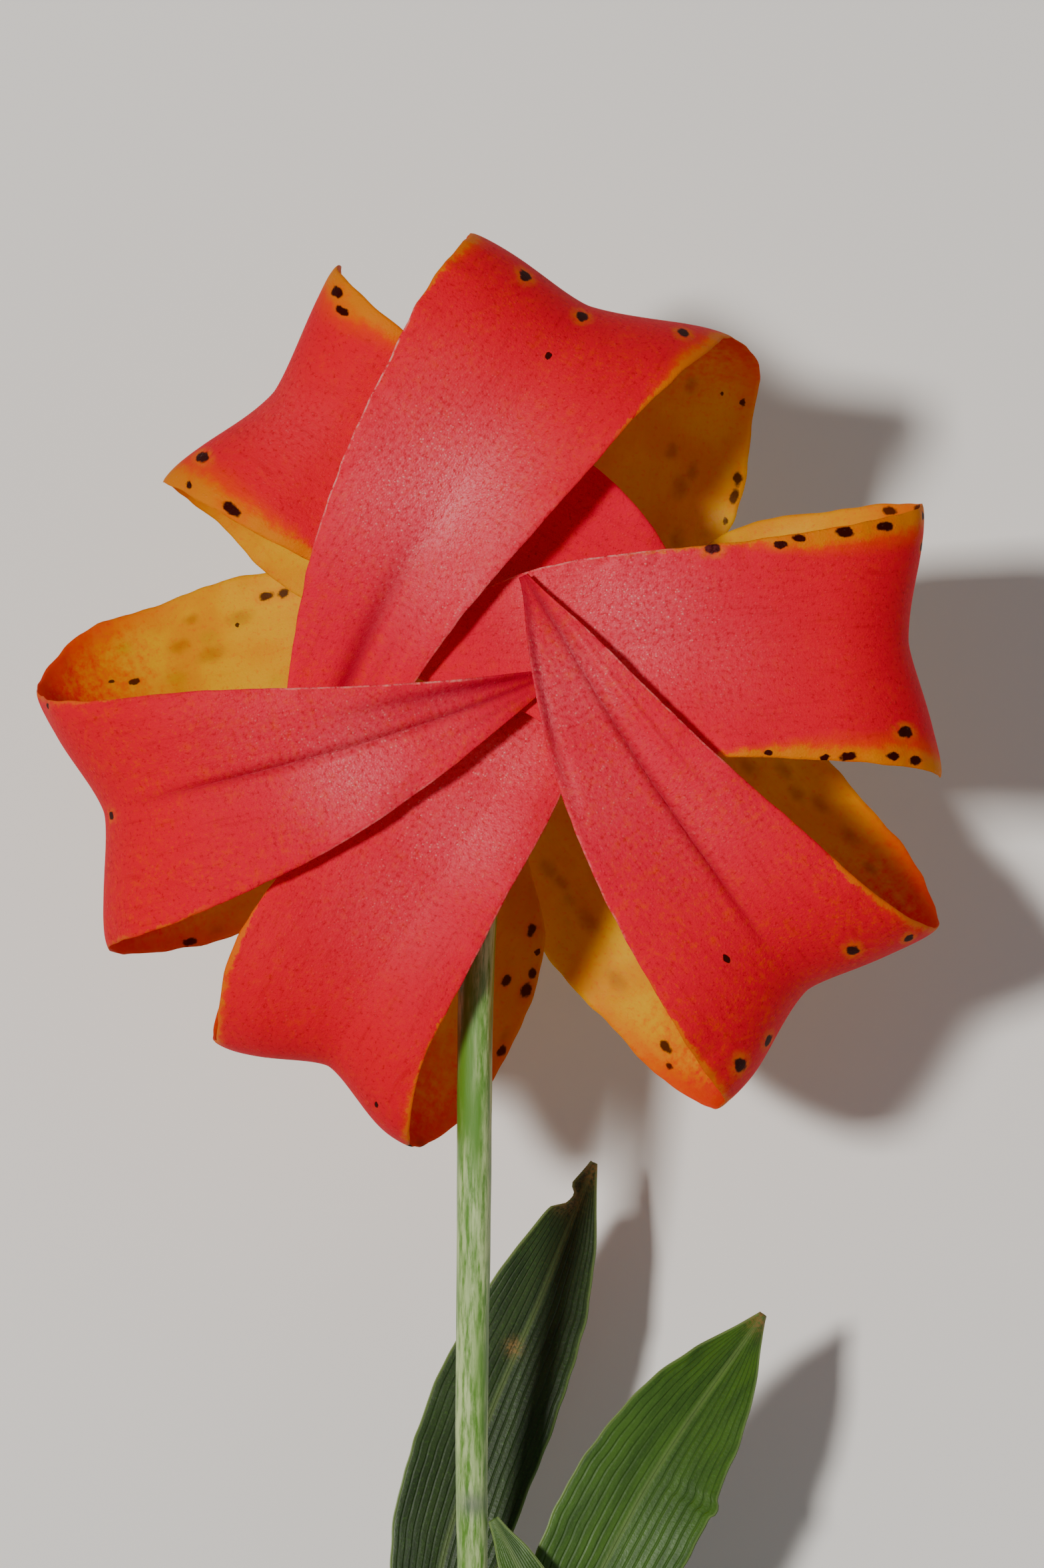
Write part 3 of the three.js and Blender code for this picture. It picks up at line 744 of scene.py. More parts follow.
def surface(tree, shader, colour, roughness, height, strength, distance=0.0001):
    """Wires a colour, a roughness and a bump height to a material's shader."""
    feed(tree, shader.inputs["Base Color"], colour)
    feed(tree, shader.inputs["Roughness"], roughness)
    bump = add(tree, "ShaderNodeBump", {"Strength": strength, "Distance": distance, "Height": height})
    feed(tree, shader.inputs["Normal"], bump.outputs[0])


def soak(shader, weight, colour_reach):
    """Lets some light soak through the skin. The reach is in metres, for red, green and blue."""
    shader.inputs["Subsurface Weight"].default_value = weight
    shader.inputs["Subsurface Radius"].default_value = [r / max(colour_reach) for r in colour_reach]
    shader.inputs["Subsurface Scale"].default_value = max(colour_reach)


def let_through(tree, shader, colour, share):
    """Lets a share of the light through to the other side of a thin sheet, in its own colour."""
    glow = add(tree, "ShaderNodeBsdfTranslucent", {"Color": colour})
    mixed = add(tree, "ShaderNodeMixShader", {0: share, 1: shader.outputs[0], 2: glow.outputs[0]})
    tree.links.new(mixed.outputs[0], tree.nodes["Material Output"].inputs["Surface"])


def placed_spots(tree, spots, past, across, blur):
    """The masks of a list of spots together: their dark middles and their rings."""
    wobble = noise_value(tree, pair(tree, past, across), 1.5, 3.0)
    masks = {}
    for at_along, at_across, radius in spots:
        one = spot(tree, {
            "Along": past, "Across": across, "Wobble": wobble, "At Along": at_along, "At Across": at_across,
            "Radius": radius, "Blur": blur})
        for key in ("Mask", "Ring"):
            masks[key] = larger(tree, masks[key], one[key]) if key in masks else one[key]
    return masks["Mask"], masks["Ring"]


def uneven_margin(tree, cells, margin):
    """Mm in from the margin, made uneven."""
    waver = plus(tree, cells["Mottle"], cells["Patch"])
    return scaled(tree, waver, MARGIN_WAVER, minus(tree, margin, MARGIN_WAVER))


def tepal_face(name, cell):
    """A material for a face of a tepal: its tree, shader, what its points carry, and its skin's cells."""
    material, tree, shader = new_material(name)
    way, past, across, margin, gloss_with_painted_highlight = attributes(tree, "way", "past_bend", "across", "margin", "gloss_with_painted_highlight")
    cells = petal_cells(tree, {"Along": past, "Across": across, "Cell": cell})
    return material, tree, shader, (way, past, across, margin, gloss_with_painted_highlight), cells


def inner_face_material(name, colours, cell, spots, seed, look):
    """A tepal's inner face: spotted yellow throat, red past the bend, crimson at the tip, waxy in places,
    with painted highlight and glints there and painted shade in its furrows.
    """
    material, tree, shader, (way, past, across, margin, gloss_with_painted_highlight), cells = tepal_face(name, cell)
    mottle, grain, warmth = cells["Mottle"], cells["Grain"], look["warmth"]
    uneven_way = scaled(tree, mottle, 0.22, minus(tree, way, 0.11))
    warm = times(tree, rise(tree, mottle, 0.46, 0.68, 0.0, warmth), rise(tree, cells["Patch"], 0.36, 0.54))
    colour = layered(
        tree, colours.yellow,
        (rise(tree, uneven_way, 0.6, 0.8), colours.orange),
        (rise(tree, uneven_way, 0.8, 0.96), colours.red),
        (rise(tree, uneven_way, 1.1, 1.6), colours.crimson),
        (warm, colours.orange),
        (rise(tree, cells["Streak"], 0.5, 0.72, 0.0, 0.3), colours.dark_red),
        (rise(tree, grain, 0.55, 0.68, 0.0, warmth), colours.orange),
        (rise(tree, grain, 0.46, 0.34, 0.0, 0.5), colours.dark_red))

    off_bend = calculate(tree, "ABSOLUTE", minus(tree, way, 1.04))
    edge = uneven_margin(tree, cells, margin)
    for wide, tint in ((1.7, colours.orange), (1.0, colours.deep_yellow)):
        limit = rise(tree, off_bend, look["reach"], 0.03, 0.02, look["border"] * wide)
        border = rise(tree, edge, limit, times(tree, limit, 0.35), 0.0, look["strength"])
        near = rise(tree, off_bend, look["reach"] * 1.1, look["reach"] * 0.7)
        colour = blend(tree, times(tree, border, near), colour, tint)
    # Painted shade: the furrows are darkened towards magenta red
    colour = blend(tree, times(tree, attribute(tree, "furrow_shade"), 0.95), colour, colours.painted_furrow_shade)

    dark = throat_spots(tree, {
        "Along": past, "Across": across, "Way": way, "Margin": margin, "Blur": 0.03, "Seed": seed})["Mask"]
    if spots:
        mask, ring = placed_spots(tree, spots, past, across, 0.22)
        halo = times(tree, ring, rise(tree, mottle, 0.38, 0.58, 0.2, 0.9))
        colour = blend(tree, halo, colour, blend(tree, 0.5, colours.deep_yellow, colours.orange))
        dark = larger(tree, dark, mask)
    colour = blend(tree, dark, colour, colours.spot)

    # Painted highlight: the waxy patches are lightened towards pink
    waxy = times(tree, gloss_with_painted_highlight, rise(tree, grain, 0.36, 0.62, 0.15, 0.9))
    colour = blend(tree, times(tree, waxy, 0.75), colour, colours.gloss_with_painted_highlight)
    # Painted highlight: single cells glint pale, more of them in the waxy patches
    glint = times(tree, cells["Glint"], rise(tree, gloss_with_painted_highlight, 0.0, 0.8, 0.03, 0.55))
    # Painted highlight: the crinkled stretches of margin are lightened to a pale glint
    painted_margin_highlight = times(tree, attribute(tree, "pale"), rise(tree, mottle, 0.4, 0.6))
    pale = times(tree, painted_margin_highlight, rise(tree, margin, 0.2, 0.06, 0.0, 0.8))
    colour = blend(tree, larger(tree, glint, pale), colour, colours.glint)
    roughness = scaled(tree, gloss_with_painted_highlight, -0.14, rise(tree, cells["Glint"], 0.0, 1.0, 0.5, 0.25))
    height = plus(tree, cells["Height"], times(tree, cells["Glint"], 0.6), times(tree, cells["Streak"], 1.5))
    surface(tree, shader, colour, roughness, height, 0.6, SKIN_BUMP)
    feed(tree, shader.inputs["Specular IOR Level"], scaled(tree, gloss_with_painted_highlight, 0.25, 0.03))
    let_through(tree, shader, colour, INNER_SHEER)
    return material


def outer_face_material(name, colours, cell, spots, blotches, seed, look):
    """A tepal's outer face: yellow with spots showing through, flushed orange and red towards the bend, with
    a painted pale highlight on a wet patch.
    """
    material, tree, shader, (way, past, across, margin, gloss_with_painted_highlight), cells = tepal_face(name, cell)
    mottle, flush = cells["Mottle"], look["flush"]
    uneven_way = scaled(tree, mottle, 0.6, minus(tree, way, 0.3))
    near_margin = rise(tree, uneven_margin(tree, cells, margin), 2.2, 0.2)
    colour = layered(
        tree, colours.yellow,
        (rise(tree, cells["Patch"], 0.4, 0.65, 0.0, 0.5), colours.deep_yellow),
        (rise(tree, uneven_way, 0.62, 0.9, 0.0, flush), colours.orange),
        (rise(tree, uneven_way, 0.78, 0.96, 0.0, 0.8 * flush), colours.red),
        (rise(tree, uneven_way, 1.0, 1.3, 0.0, 0.75), colours.red),
        (times(tree, times(tree, near_margin, rise(tree, way, 0.45, 0.85)), 0.8 * flush), colours.orange),
        (rise(tree, cells["Streak"], 0.5, 0.75, 0.0, 0.35), colours.deep_yellow),
        (rise(tree, cells["Grain"], 0.47, 0.34, 0.0, 0.35), colours.orange))
    if blotches:
        faint = times(tree, placed_spots(tree, blotches, past, across, 0.95)[0], 0.38)
    else:
        strewn = throat_spots(tree, {
            "Along": past, "Across": across, "Way": way, "Margin": margin, "Blur": 0.16, "Seed": seed})
        faint = times(tree, strewn["Mask"], 0.35)
    colour = blend(tree, faint, colour, colours.blotch)
    if spots:
        mask, ring = placed_spots(tree, spots, past, across, 0.3)
        colour = layered(
            tree, colour, (times(tree, ring, 0.3), colours.orange), (times(tree, mask, 0.92), colours.spot))
    # A wet patch: smoother and bumpier, its pale colour a painted highlight
    wet = times(tree, gloss_with_painted_highlight, rise(tree, way, 0.8, 0.7))
    painted_wet_highlight = blend(tree, 0.4, colours.yellow, colours.glint)
    colour = blend(tree, times(tree, wet, rise(tree, mottle, 0.4, 0.6, 0.2, 0.7)), colour, painted_wet_highlight)
    height = plus(tree, times(tree, cells["Height"], 0.5), times(tree, cells["Streak"], 1.5),
                  times(tree, wet, times(tree, mottle, 6.0)))
    roughness = scaled(tree, wet, -0.25, rise(tree, mottle, 0.3, 0.7, 0.42, 0.55))
    surface(tree, shader, colour, roughness, height, 0.4, SKIN_BUMP)
    shader.inputs["Specular IOR Level"].default_value = 0.08
    let_through(tree, shader, colour, OUTER_SHEER)
    return material


def stem_material(colours):
    """Green stalk under a pale bloom that is worn off in patches."""
    material, tree, shader = new_material("Waxy stem")
    bloom = waxy_bloom(tree, {"Grain": grain_of(tree)})
    tip, cut, stain = attributes(tree, "receptacle", "cut", "stain")
    colour = layered(
        tree, colours.stem,
        (bloom["Mask"], colours.stem_bloom),
        (times(tree, tip, 0.7), colours.stem_bloom),
        (cut, paint(CUT_COLOUR)),
        (times(tree, stain, 0.6), paint(STAIN_COLOUR)))
    surface(tree, shader, colour, scaled(tree, bloom["Mask"], 0.22, 0.38), bloom["Height"], 0.4)
    soak(shader, 0.08, (0.0006, 0.0009, 0.0003))
    return material


def leaf_material(name, colours, green):
    """A leaf with parallel veins, a paler midrib and edge, and browned marks."""
    material, tree, shader = new_material(name)
    past, across, margin, share, mark = attributes(tree, "past_bend", "across", "margin", "share", "mark")
    veins = long_veins(tree, {"Share": share, "Along": past, "Count": LEAF_VEINS})["Line"]
    mottle = noise_value(tree, pair(tree, times(tree, past, 0.15), across), 0.9, 5.0, 0.62)
    fine = noise_value(tree, pair(tree, past, across), 3.2, 3.0, 0.6)
    darker = blend(tree, 0.6, green, colours.stem, "MULTIPLY")
    colour = layered(
        tree, green,
        (rise(tree, mottle, 0.35, 0.68), darker),
        (rise(tree, fine, 0.5, 0.75, 0.0, 0.25), colours.stem),
        (times(tree, veins, 0.35), darker),
        (rise(tree, calculate(tree, "ABSOLUTE", across), 0.4, 0.1, 0.0, 0.22), colours.leaf_rib),
        (rise(tree, margin, 0.3, 0.05, 0.0, 0.5), colours.leaf_rib),
        (times(tree, mark, rise(tree, fine, 0.35, 0.6)), colours.leaf_brown))
    height = plus(tree, times(tree, veins, -1.4), times(tree, fine, 0.7), mottle)
    surface(tree, shader, colour, rise(tree, mottle, 0.3, 0.7, 0.4, 0.55), height, 0.5, 0.00012)
    shader.inputs["Specular IOR Level"].default_value = 0.35
    soak(shader, 0.06, (0.0004, 0.0009, 0.0002))
    return material


def plain_stalk_material(name, first, second, roughness):
    """A smooth green stalk that changes colour towards its end, with faint long streaks."""
    material, tree, shader = new_material(name)
    streak = noise_value(tree, grain_of(tree), 3.0, 4.0, 0.6)
    darker = blend(tree, 1.0, first, first, "MULTIPLY")
    streaked = rise(tree, streak, 0.45, 0.7, 0.0, 0.35)
    colour = layered(tree, first, (attribute(tree, "end"), second), (streaked, darker))
    surface(tree, shader, colour, roughness, streak, 0.3)
    soak(shader, 0.15, (0.0005, 0.0006, 0.0002))
    return material


def pollen_material(colours):
    """Rust-brown anther under grains of brighter pollen."""
    material, tree, shader = new_material("Pollen")
    place = add(tree, "ShaderNodeTexCoord").outputs["Object"]
    dome = rise(tree, voronoi_cells(tree, place, POLLEN_GRAINS, 1.0)[0], 0.7, 0.05)
    clumps = noise_value(tree, place, POLLEN_CLUMPS, 4.0, 0.65)
    colour = blend(tree, times(tree, dome, rise(tree, clumps, 0.35, 0.6)), colours.anther, colours.pollen)
    surface(tree, shader, colour, 0.85, plus(tree, dome, times(tree, clumps, 2.0)), 0.9)
    shader.inputs["Sheen Weight"].default_value = 0.3
    return material


def tepal_spine(numbers, form, rows):
    """Places down a tepal's middle: length so far, way, place, and the directions of face and width."""
    base, curl, tip = numbers["base"], numbers["curl"], numbers["tip"]
    headings = [(share * base, degrees) for share, degrees in form["throat"]]
    headings += [(0.6 * base, numbers["mid"]), (0.84 * base, numbers["mid"] + 38), (base, 180)]
    headings += [(base + curl, numbers["lie"]), (base + tip, numbers["droop"])]
    steps = (rows - 1) * SPINE_STEPS_PER_ROW
    step = (base + tip) / steps
    out = math.radians(numbers["out"])
    place = Vector((form["seat"] * math.cos(out), form["seat"] * math.sin(out), -SEAT_GAP - BLADE / 4))
    spine = []
    for i in range(steps + 1):
        s = i * step
        heading = math.radians(along(headings, s))
        turn = (numbers["back"] - numbers["out"]) * smoothstep(0.5 * base, base + curl + 4, s)
        turn += numbers["sweep"] * smoothstep(base + curl, base + tip, s)
        plan = math.radians(numbers["out"] + turn)
        outward = Vector((math.cos(plan), math.sin(plan), 0))
        run = outward * math.sin(heading) - Vector((0, 0, math.cos(heading)))
        face = -outward * math.cos(heading) - Vector((0, 0, math.sin(heading)))
        width = Vector((-math.sin(plan), math.cos(plan), 0))
        if i % SPINE_STEPS_PER_ROW == 0:
            way = s / base if s < base else 1 + (s - base) / tip
            spine.append((s, way, place.copy(), face, width))
        place += run * step
    return spine


def half_width(numbers, form, way):
    """Half the width of a tepal at a point of the way, from the widest to the bend in one smooth step."""
    if way >= 1:
        swell = numbers["swell"] * math.sin(math.pi * (way - 1))
        return numbers["bend"] * curved(TIP_WIDTH, way) * (1 - numbers["slim"] * (way - 1) + swell)
    widest = numbers["wide"] + (numbers["bend"] - numbers["wide"]) * smoothstep(0.7, 1.05, way)
    return curved(form["width"], way) * widest


def side_share(numbers, way):
    """How much wider than half the width the side further round is."""
    in_base = numbers["lean"] * smoothstep(0.15, 0.4, way) * (1 - smoothstep(0.75, 1.02, way))
    return in_base + numbers["skew"] * smoothstep(1, 1.25, way) * (1 - smoothstep(1.5, 2, way))


def dish_share(numbers, form, way):
    """How deep a tepal is dished across, over half its width."""
    near_bend = smoothstep(0.6, 0.95, way) * (1 - smoothstep(1.05, 1.4, way))
    return curved(form["dish"], way) * (1 + numbers["hollow"] * near_bend)


def furrow_depth(furrows, u, half, way):
    """How deep the inner face is furrowed at a point, and how strongly painted shade darkens the furrow
    there.
    """
    depth, colour = 0.0, 0.0
    for first, last, deep, wide, start, end, strength in furrows:
        at = first + (last - first) * min(1.0, max(0.0, (way - start) / (end - start)))
        fade = smoothstep(start, start + 0.3, way) * (1 - smoothstep(end - 0.06, end + 0.06, way) * 0.6)
        mark = fade * math.exp(-(((u - at) * half / wide) ** 2))
        depth += deep * mark * min(1.0, half / 5)
        colour = max(colour, mark * strength)
    return depth, colour


def gloss_and_highlight_share(patches, past, across):
    """How waxy a tepal is at a point, which also sets how much painted highlight it gets."""
    shine = [strength * math.exp(-((past - at_past) ** 2 + (across - at_across) ** 2) / reach ** 2)
             for at_past, at_across, reach, strength in patches]
    return max(shine, default=0.0)


def margin_highlight_share(stretches, u, way):
    """How crinkled a tepal's margin is at a point, and how strongly it is lightened with a painted pale
    highlight.
    """
    pale = [
        strength * smoothstep(start - 0.06, start + 0.03, way) * (1 - smoothstep(end - 0.03, end + 0.06, way))
        for side, start, end, strength in stretches if side * u > 0]
    return max(pale, default=0.0)


def tepal_grid(node, numbers, form, sizes, seed):
    """The middle surface of a tepal as rows of points, with what its materials read at each point."""
    rows = []
    values = {key: [] for key in ("past_bend", "across", "way", "margin", "furrow_shade", "gloss_with_painted_highlight", "pale")}
    base, curl = numbers["base"], numbers["curl"]
    ripple, swell = sizes.ripple / MM, sizes.unevenness / MM
    for s, way, place, face, across in tepal_spine(numbers, form, TEPAL_ROWS):
        half = half_width(numbers, form, way)
        depth = half * dish_share(numbers, form, way)
        wider = side_share(numbers, way)
        pared = PARED_TIPS.get(node, 0.0) * smoothstep(1.66, 1.8, way)
        roll = math.radians(numbers["roll"]) * smoothstep(base, base + curl, s)
        width = across * math.cos(roll) + face * math.sin(roll)
        up = face * math.cos(roll) - across * math.sin(roll)
        grown = smoothstep(0.15, 0.5, way)
        row = []
        for j in range(TEPAL_COLUMNS + 1):
            u = 2 * j / TEPAL_COLUMNS - 1
            side = half * (1 + wider if u > 0 else 1 - wider - pared)
            lift = depth * math.sin(math.pi / 2 * abs(u)) ** 1.5
            lift += swell * grown * noise.noise((s / 9, u * half / 7, seed))
            wave = noise.noise((s / 4.5, seed + (7 if u > 0 else 3), 0.5))
            wave += 0.35 * noise.noise((s / 1.3, seed + (9 if u > 0 else 5), 0.8))
            near_edge = smoothstep(0.62, 1, abs(u))
            lift += ripple * grown * wave * near_edge * (0.5 + 1.3 * smoothstep(0.75, 1.05, way))
            # dry is how crinkled the margin is here, and how strongly its painted pale highlight shows
            dry = margin_highlight_share(CRINKLED_MARGIN_HIGHLIGHTS.get(node, []), u, way)
            lift += 0.45 * dry * noise.noise((s / 0.8, seed, 0.3)) * smoothstep(0.86, 1, abs(u))
            # mark is how strongly painted shade darkens the furrow here
            furrow, mark = furrow_depth(FURROWS.get(node, []), u, half, way)
            nibbled = 0.012 * noise.noise((s / 1.7, seed + (2 if u > 0 else 6), 0.1))
            edge = 1 + nibbled * smoothstep(0.8, 1, abs(u))
            row.append(place + width * (side * u * edge) + up * (lift - furrow))
            past = s - base
            shine = gloss_and_highlight_share(GLOSS_WITH_PAINTED_HIGHLIGHT.get(node, []), past, side * u)
            for key, value in (("past_bend", past), ("across", side * u), ("way", way), ("furrow_shade", mark),
                               ("margin", side * (1 - abs(u))), ("gloss_with_painted_highlight", shine), ("pale", dry)):
                values[key].append(value)
        rows.append(row)
    return rows, values


def thin_sheet(rows, middle, margin):
    """Points on both sides of a surface, as thick as middle at the middle and margin near its edges."""
    columns = len(rows[0])
    normals = grid_normals(rows)
    first, second = [], []
    for i, row in enumerate(rows):
        for j, p in enumerate(row):
            u = abs(2 * j / (columns - 1) - 1)
            thick = margin + (middle - margin) * (1 - smoothstep(0.0, 0.9, u))
            thick *= math.sqrt(max(0.04, 1 - u ** 24))
            first.append(p + normals[i][j] * (thick / 2))
            second.append(p - normals[i][j] * (thick / 2))
    return first + second


def sheet_piece(name, node, rows, values, middle, margin, materials):
    """A thin piece round a grid of points. A second material goes on its under side and its rim."""
    faces, side = sheet_faces(len(rows), len(rows[0]))
    points = thin_sheet(rows, middle / MM, margin / MM)
    both = {key: one_side + one_side for key, one_side in values.items()}
    return new_piece(name, points, faces, node, both, materials, side if len(materials) > 1 else None)


def tepal(node, numbers, form, seed):
    """One tepal, between its outer and its inner face. It is named as its node, with the kind last."""
    sizes, colours = bpy.context.scene.lily_sizes, bpy.context.scene.lily_colours
    rows, values = tepal_grid(node, numbers, form, sizes, seed)
    kind, place = node.split("_", 1)
    name = f"{place}_{kind}"
    label, cell, look = name.replace("_", " "), sizes.cell / MM, LOOKS[node]
    outer_spots, blotches = OUTER_SPOTS.get(node, []), FAINT_BLOTCHES.get(node, [])
    materials = [
        outer_face_material(label + " outside", colours, cell, outer_spots, blotches, seed, look),
        inner_face_material(label + " inside", colours, cell, INNER_SPOTS.get(node, []), seed, look)]
    return sheet_piece(
        name, node, rows, values, sizes.tepal_thickness, sizes.tepal_margin, materials)


def leaf(name, node, width, path, seed, material, sizes):
    """A leaf folded a little along its midrib, with waved edges."""
    places, runs, length = spline(path, LEAF_ROWS - 1)
    rows = []
    values = {key: [] for key in ("past_bend", "across", "margin", "share", "mark")}
    for i, (place, run) in enumerate(zip(places, runs)):
        share = i / (LEAF_ROWS - 1)
        past = share * length
        half = width / 2 * curved(LEAF_WIDTH, share)
        across = Vector((0, 0, 1)).cross(run).normalized()
        up = run.cross(across)
        row = []
        for j in range(LEAF_COLUMNS):
            u = 2 * j / (LEAF_COLUMNS - 1) - 1
            lift = LEAF_FOLD * half * (math.sqrt(u * u + 0.01) - 0.1)
            wave = noise.noise((past / 9, seed + (5 if u > 0 else 0), 0.2))
            lift += 0.7 * wave * smoothstep(0.3, 1, abs(u)) * smoothstep(0.05, 0.3, share)
            reach = half * (1 + 0.03 * noise.noise((past / 2.2, seed + (9 if u > 0 else 2), 0.7)))
            for at, side, wide, depth in LEAF_NICKS.get(node, []):
                if side * u > 0:
                    reach -= depth * math.exp(-((share - at) * length / wide) ** 4)
            reach = max(reach, 0.1)
            marks = [math.exp(-(((share - at) * length) ** 2 + (reach * u - off) ** 2) / wide ** 2)
                     for at, off, wide in LEAF_MARKS.get(node, [])]
            row.append(place + across * (reach * u) + up * lift)
            for key, value in (("past_bend", past), ("across", reach * u), ("margin", reach * (1 - abs(u))),
                               ("share", u), ("mark", max(marks, default=0.0))):
                values[key].append(value)
        rows.append(row)
    thick = sizes.leaf_thickness
    return sheet_piece(name, node, rows, values, thick, thick * LEAF_EDGE, [material])


def stalk(name, node, path, radii, material, steps, sides, lobes=None, extra=None):
    """A round piece along a curve. extra(share, point) adds what its material reads."""
    points, faces, shares, grain = tube(path, radii, steps, sides, lobes)
    values = {"share": shares, "grain": grain}
    for key, rule in (extra or {}).items():
        values[key] = [rule(share, p) for share, p in zip(shares, points)]
    return new_piece(name, points, faces, node, values, [material])


def anther(name, node, azimuth, reach, lie, material):
    """A long anther in two halves, thick with pollen, lying on the surface."""
    rings, per_side = 72, 4
    section = [
        tuple(a + (b - a) * k / per_side for a, b in zip(p, q))
        for p, q in zip(ANTHER_SECTION, ANTHER_SECTION[1:] + ANTHER_SECTION[:1])
        for k in range(per_side)
    ]
    turn = Matrix.Rotation(math.radians(lie), 3, "Z")
    level = Matrix.Rotation(-math.radians(LAY), 3, "X")
    azimuth = math.radians(azimuth)
    at = above(reach * math.cos(azimuth), reach * math.sin(azimuth), 0)
    points = []
    for i in range(rings):
        t = 2 * i / (rings - 1) - 1
        size = curved(ANTHER_FORM, t)
        for across, height in section:
            p = Vector((t * ANTHER_LENGTH / 2, across * size * ANTHER_WIDTH, height * size * ANTHER_HEIGHT))
            rough = 0.14 * noise.noise(p * 2.2 + Vector((reach, lie, 0))) + 0.06 * noise.noise(p * 6)
            middle = Vector((0, 0, 0.45 * size * ANTHER_HEIGHT))
            away = (p - middle - Vector((p.x, 0, 0))).normalized()
            p += away * (rough - 0.08)
            p.z = max(p.z, 0.02)
            points.append(level @ (turn @ p) + at)
    sides = len(section)
    for first in (0, (rings - 1) * sides):
        points.append(sum(points[first:first + sides], Vector()) / sides)
    return new_piece(name, points, tube_faces(rings, sides), node, {}, [material])


def filament_path(azimuth, reach):
    """The way of a filament from the receptacle out and down to the top of its anther."""
    azimuth = math.radians(azimuth)
    outward = Vector((math.cos(azimuth), math.sin(azimuth), 0))
    end = above(*(outward.xy * reach), ANTHER_HEIGHT + FILAMENT_END)
    path = [outward * FILAMENT_SEAT - Vector((0, 0, SEAT_GAP)),
            outward * (FILAMENT_SEAT + 0.06 * reach) - Vector((0, 0, 9))]
    for share in (0.28, 0.62):
        path.append(outward * (reach * share) + Vector((0, 0, end.z * (0.42 + 0.5 * share))))
    return path + [end]


class LILY_OT_petals(bpy.types.Operator):
    """Make the three inner tepals, the broad ones that lie on top"""

    bl_idname = "lily.petals"
    bl_label = "Petals"

    def execute(self, context):
        for seed, (node, numbers) in enumerate(PETALS.items()):
            tepal(node, numbers, PETAL_FORM, 11.0 + seed)
        return {"FINISHED"}


class LILY_OT_sepals(bpy.types.Operator):
    """Make the three outer tepals, which lie under the inner ones"""

    bl_idname = "lily.sepals"
    bl_label = "Sepals"

    def execute(self, context):
        for seed, (node, numbers) in enumerate(SEPALS.items()):
            tepal(node, numbers, SEPAL_FORM, 31.0 + seed)
        return {"FINISHED"}


class LILY_OT_stem(bpy.types.Operator):
    """Make the stalk, from the receptacle behind the flower to the cut end of the stem"""

    bl_idname = "lily.stem"
    bl_label = "Stem"

    def execute(self, context):
        def lobes(share, angle):
            ridges = 0.025 * math.cos(3 * angle + 2 * share) + 0.02 * math.cos(5 * angle)
            return 1 + ridges + 0.03 * noise.noise((math.cos(angle), math.sin(angle), share * 30))

        extra = {
            "receptacle": lambda share, p: 1 - smoothstep(0.01, 0.05, share),
            "cut": lambda share, p: smoothstep(0.9985, 0.9999, share),
            "stain": lambda share, p: math.exp(-((p - STAIN_AT).length / STAIN_REACH) ** 2),
        }
        material = stem_material(context.scene.lily_colours)
        stalk("flower_stalk", "stem", STEM_PATH, STEM_RADII, material,
              steps=420, sides=40, lobes=lobes, extra=extra)
        return {"FINISHED"}


class LILY_OT_pistil(bpy.types.Operator):
    """Make the pistil: the grooved ovary, the style and the three-lobed stigma"""

    bl_idname = "lily.pistil"
    bl_label = "Pistil"

    def execute(self, context):
        def lobes(share, angle):
            grooves = 0.07 * smoothstep(0.02, 0.08, share) * (1 - smoothstep(0.34, 0.42, share))
            parted = 0.2 * smoothstep(0.91, 0.96, share)
            return 1 - grooves + grooves * math.cos(6 * angle) - parted + parted * math.cos(3 * angle)

        colours = context.scene.lily_colours
        material = plain_stalk_material("Pistil", colours.filament, colours.stigma, 0.45)
        extra = {"end": lambda share, p: smoothstep(0.88, 0.95, share)}
        stalk("style_and_ovary", "pistil", PISTIL_PATH, PISTIL_RADII, material,
              steps=160, sides=36, lobes=lobes, extra=extra)
        return {"FINISHED"}


class LILY_OT_stamens(bpy.types.Operator):
    """Make the six stamens: a bowed filament each, and a long anther that lies on the surface"""

    bl_idname = "lily.stamens"
    bl_label = "Stamens"

    def execute(self, context):
        colours = context.scene.lily_colours
        thread = plain_stalk_material("Filament", colours.filament, colours.filament, 0.4)
        pollen = pollen_material(colours)
        for k, (azimuth, reach, lie) in enumerate(STAMENS, start=1):
            stalk(f"stamen_{k}_filament", f"filament_{k}", filament_path(azimuth, reach),
                  FILAMENT_RADII, thread, steps=60, sides=14, extra={"end": lambda share, p: share})
            anther(f"stamen_{k}_anther", f"anther_{k}", azimuth, reach, lie, pollen)
        return {"FINISHED"}


class LILY_OT_leaves(bpy.types.Operator):
    """Make the whorl of leaves and the small one on the flower's stalk"""

    bl_idname = "lily.leaves"
    bl_label = "Leaves"

    def execute(self, context):
        sizes, colours = context.scene.lily_sizes, context.scene.lily_colours
        bright = leaf_material("Bright leaf", colours, colours.leaf)
        # The dark leaf is a painted-shade copy of the bright one, for the leaves that lie in shade
        dark = leaf_material("Dark leaf", colours, colours.shaded_leaf_green)
        for seed, (node, (width, path)) in enumerate(LEAVES.items()):
            material = bright if node in ("leaf_1", "bract") else dark
            leaf(node.replace("leaf_", "leaf_blade_").replace("bract", "small_leaf"), node, width, path,
                 51.0 + seed, material, sizes)
        return {"FINISHED"}


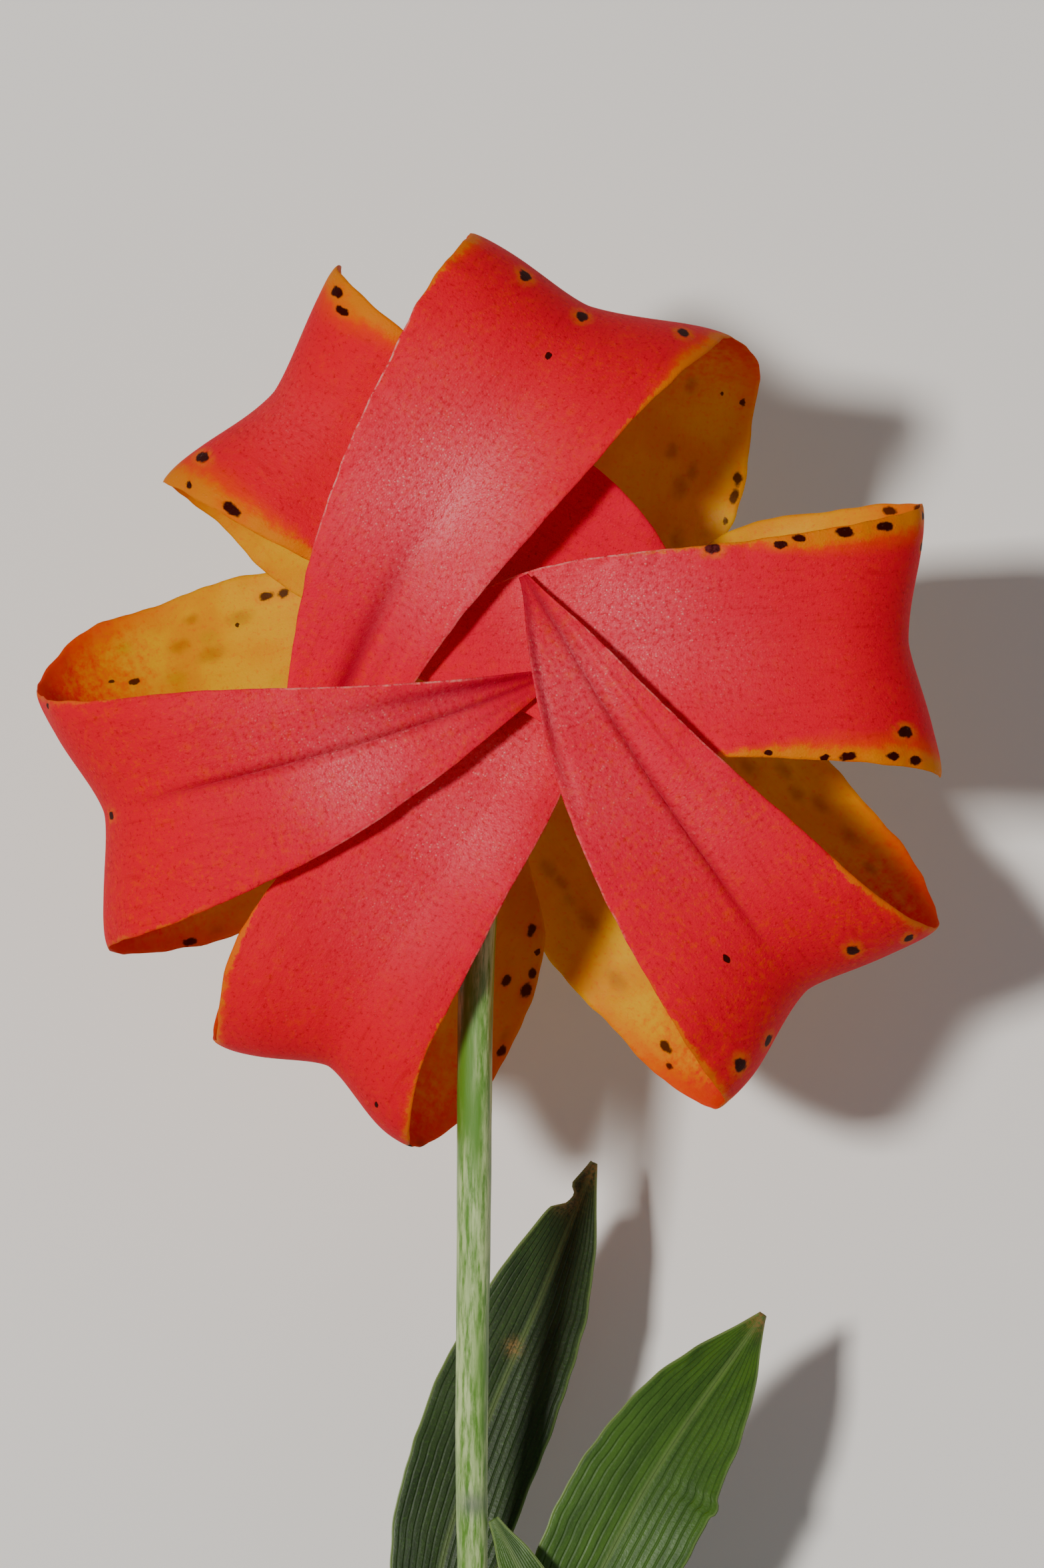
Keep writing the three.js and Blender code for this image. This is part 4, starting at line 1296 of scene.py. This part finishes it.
class LILY_OT_stage(bpy.types.Operator):
    """Make the floor, the studio light and the camera that looks down on the flower"""

    bl_idname = "lily.stage"
    bl_label = "Stage"

    def execute(self, context):
        scene, light = context.scene, context.scene.lily_light
        material, tree, shader = new_material("Floor")
        place = add(tree, "ShaderNodeTexCoord").outputs["Object"]
        tooth = noise_value(tree, place, FLOOR_TOOTH, 3.0)
        surface(tree, shader, scene.lily_colours.floor, 0.85, tooth, 0.05, 0.0002)
        bpy.ops.mesh.primitive_plane_add(size=FLOOR_SIDE)
        floor = context.object
        floor.name = "floor"
        floor.data.materials.append(material)

        self.add_light(scene, "key_light", KEY_AT, light.key, light.key_size, KEY_COLOUR)
        self.add_light(scene, "fill_light", FILL_AT, light.fill, FILL_SIZE, FILL_COLOUR)

        world = bpy.data.worlds.new("Studio")
        world.use_nodes = True
        background = world.node_tree.nodes["Background"]
        background.inputs["Color"].default_value = ROOM_COLOUR
        background.inputs["Strength"].default_value = light.world
        scene.world = world

        camera = bpy.data.cameras.new("camera")
        camera.sensor_fit = "VERTICAL"
        camera.sensor_height = SENSOR
        camera.lens = SENSOR * FOCAL_PIXELS / IMAGE_HEIGHT
        camera.clip_start = 0.01
        eye = bpy.data.objects.new("camera", camera)
        eye.location = plant_to_frame([CAMERA_AT])[0]
        eye.rotation_euler = (math.radians(LAY), 0, 0)
        scene.collection.objects.link(eye)
        scene.camera = eye
        return {"FINISHED"}

    @staticmethod
    def add_light(scene, name, place, power, size, colour):
        data = bpy.data.lights.new(name, "AREA")
        data.energy, data.size, data.color = power, size, colour
        lamp = bpy.data.objects.new(name, data)
        lamp.location = place
        lamp.rotation_euler = (-Vector(place)).to_track_quat("-Z", "Y").to_euler()
        scene.collection.objects.link(lamp)


class LILY_PT_panel(bpy.types.Panel):
    """Sizes, colours and light of the lily, and the pieces that they shape"""

    bl_label = "Turk's Cap Lily"
    bl_idname = "LILY_PT_panel"
    bl_space_type = "VIEW_3D"
    bl_region_type = "UI"
    bl_category = "Lily"

    def draw(self, context):
        layout, scene = self.layout, context.scene
        for group in (scene.lily_sizes, scene.lily_colours, scene.lily_light):
            box = layout.box()
            for key in group.__annotations__:
                box.prop(group, key)
        for operator in PIECES:
            layout.operator(operator.bl_idname)


SETTINGS = {"lily_sizes": LilySizes, "lily_colours": LilyColours, "lily_light": LilyLight}
PIECES = (LILY_OT_stage, LILY_OT_petals, LILY_OT_sepals, LILY_OT_stem, LILY_OT_pistil, LILY_OT_stamens,
          LILY_OT_leaves)


def register():
    for one in (*SETTINGS.values(), *PIECES, LILY_PT_panel):
        bpy.utils.register_class(one)
    for name, group in SETTINGS.items():
        setattr(bpy.types.Scene, name, bpy.props.PointerProperty(type=group))


def unregister():
    for name in SETTINGS:
        delattr(bpy.types.Scene, name)
    for one in reversed((*SETTINGS.values(), *PIECES, LILY_PT_panel)):
        bpy.utils.unregister_class(one)


def main():
    register()
    bpy.ops.lily.stage()
    bpy.ops.lily.petals()
    bpy.ops.lily.sepals()
    bpy.ops.lily.stem()
    bpy.ops.lily.pistil()
    bpy.ops.lily.stamens()
    bpy.ops.lily.leaves()


if __name__ == "__main__":
    main()
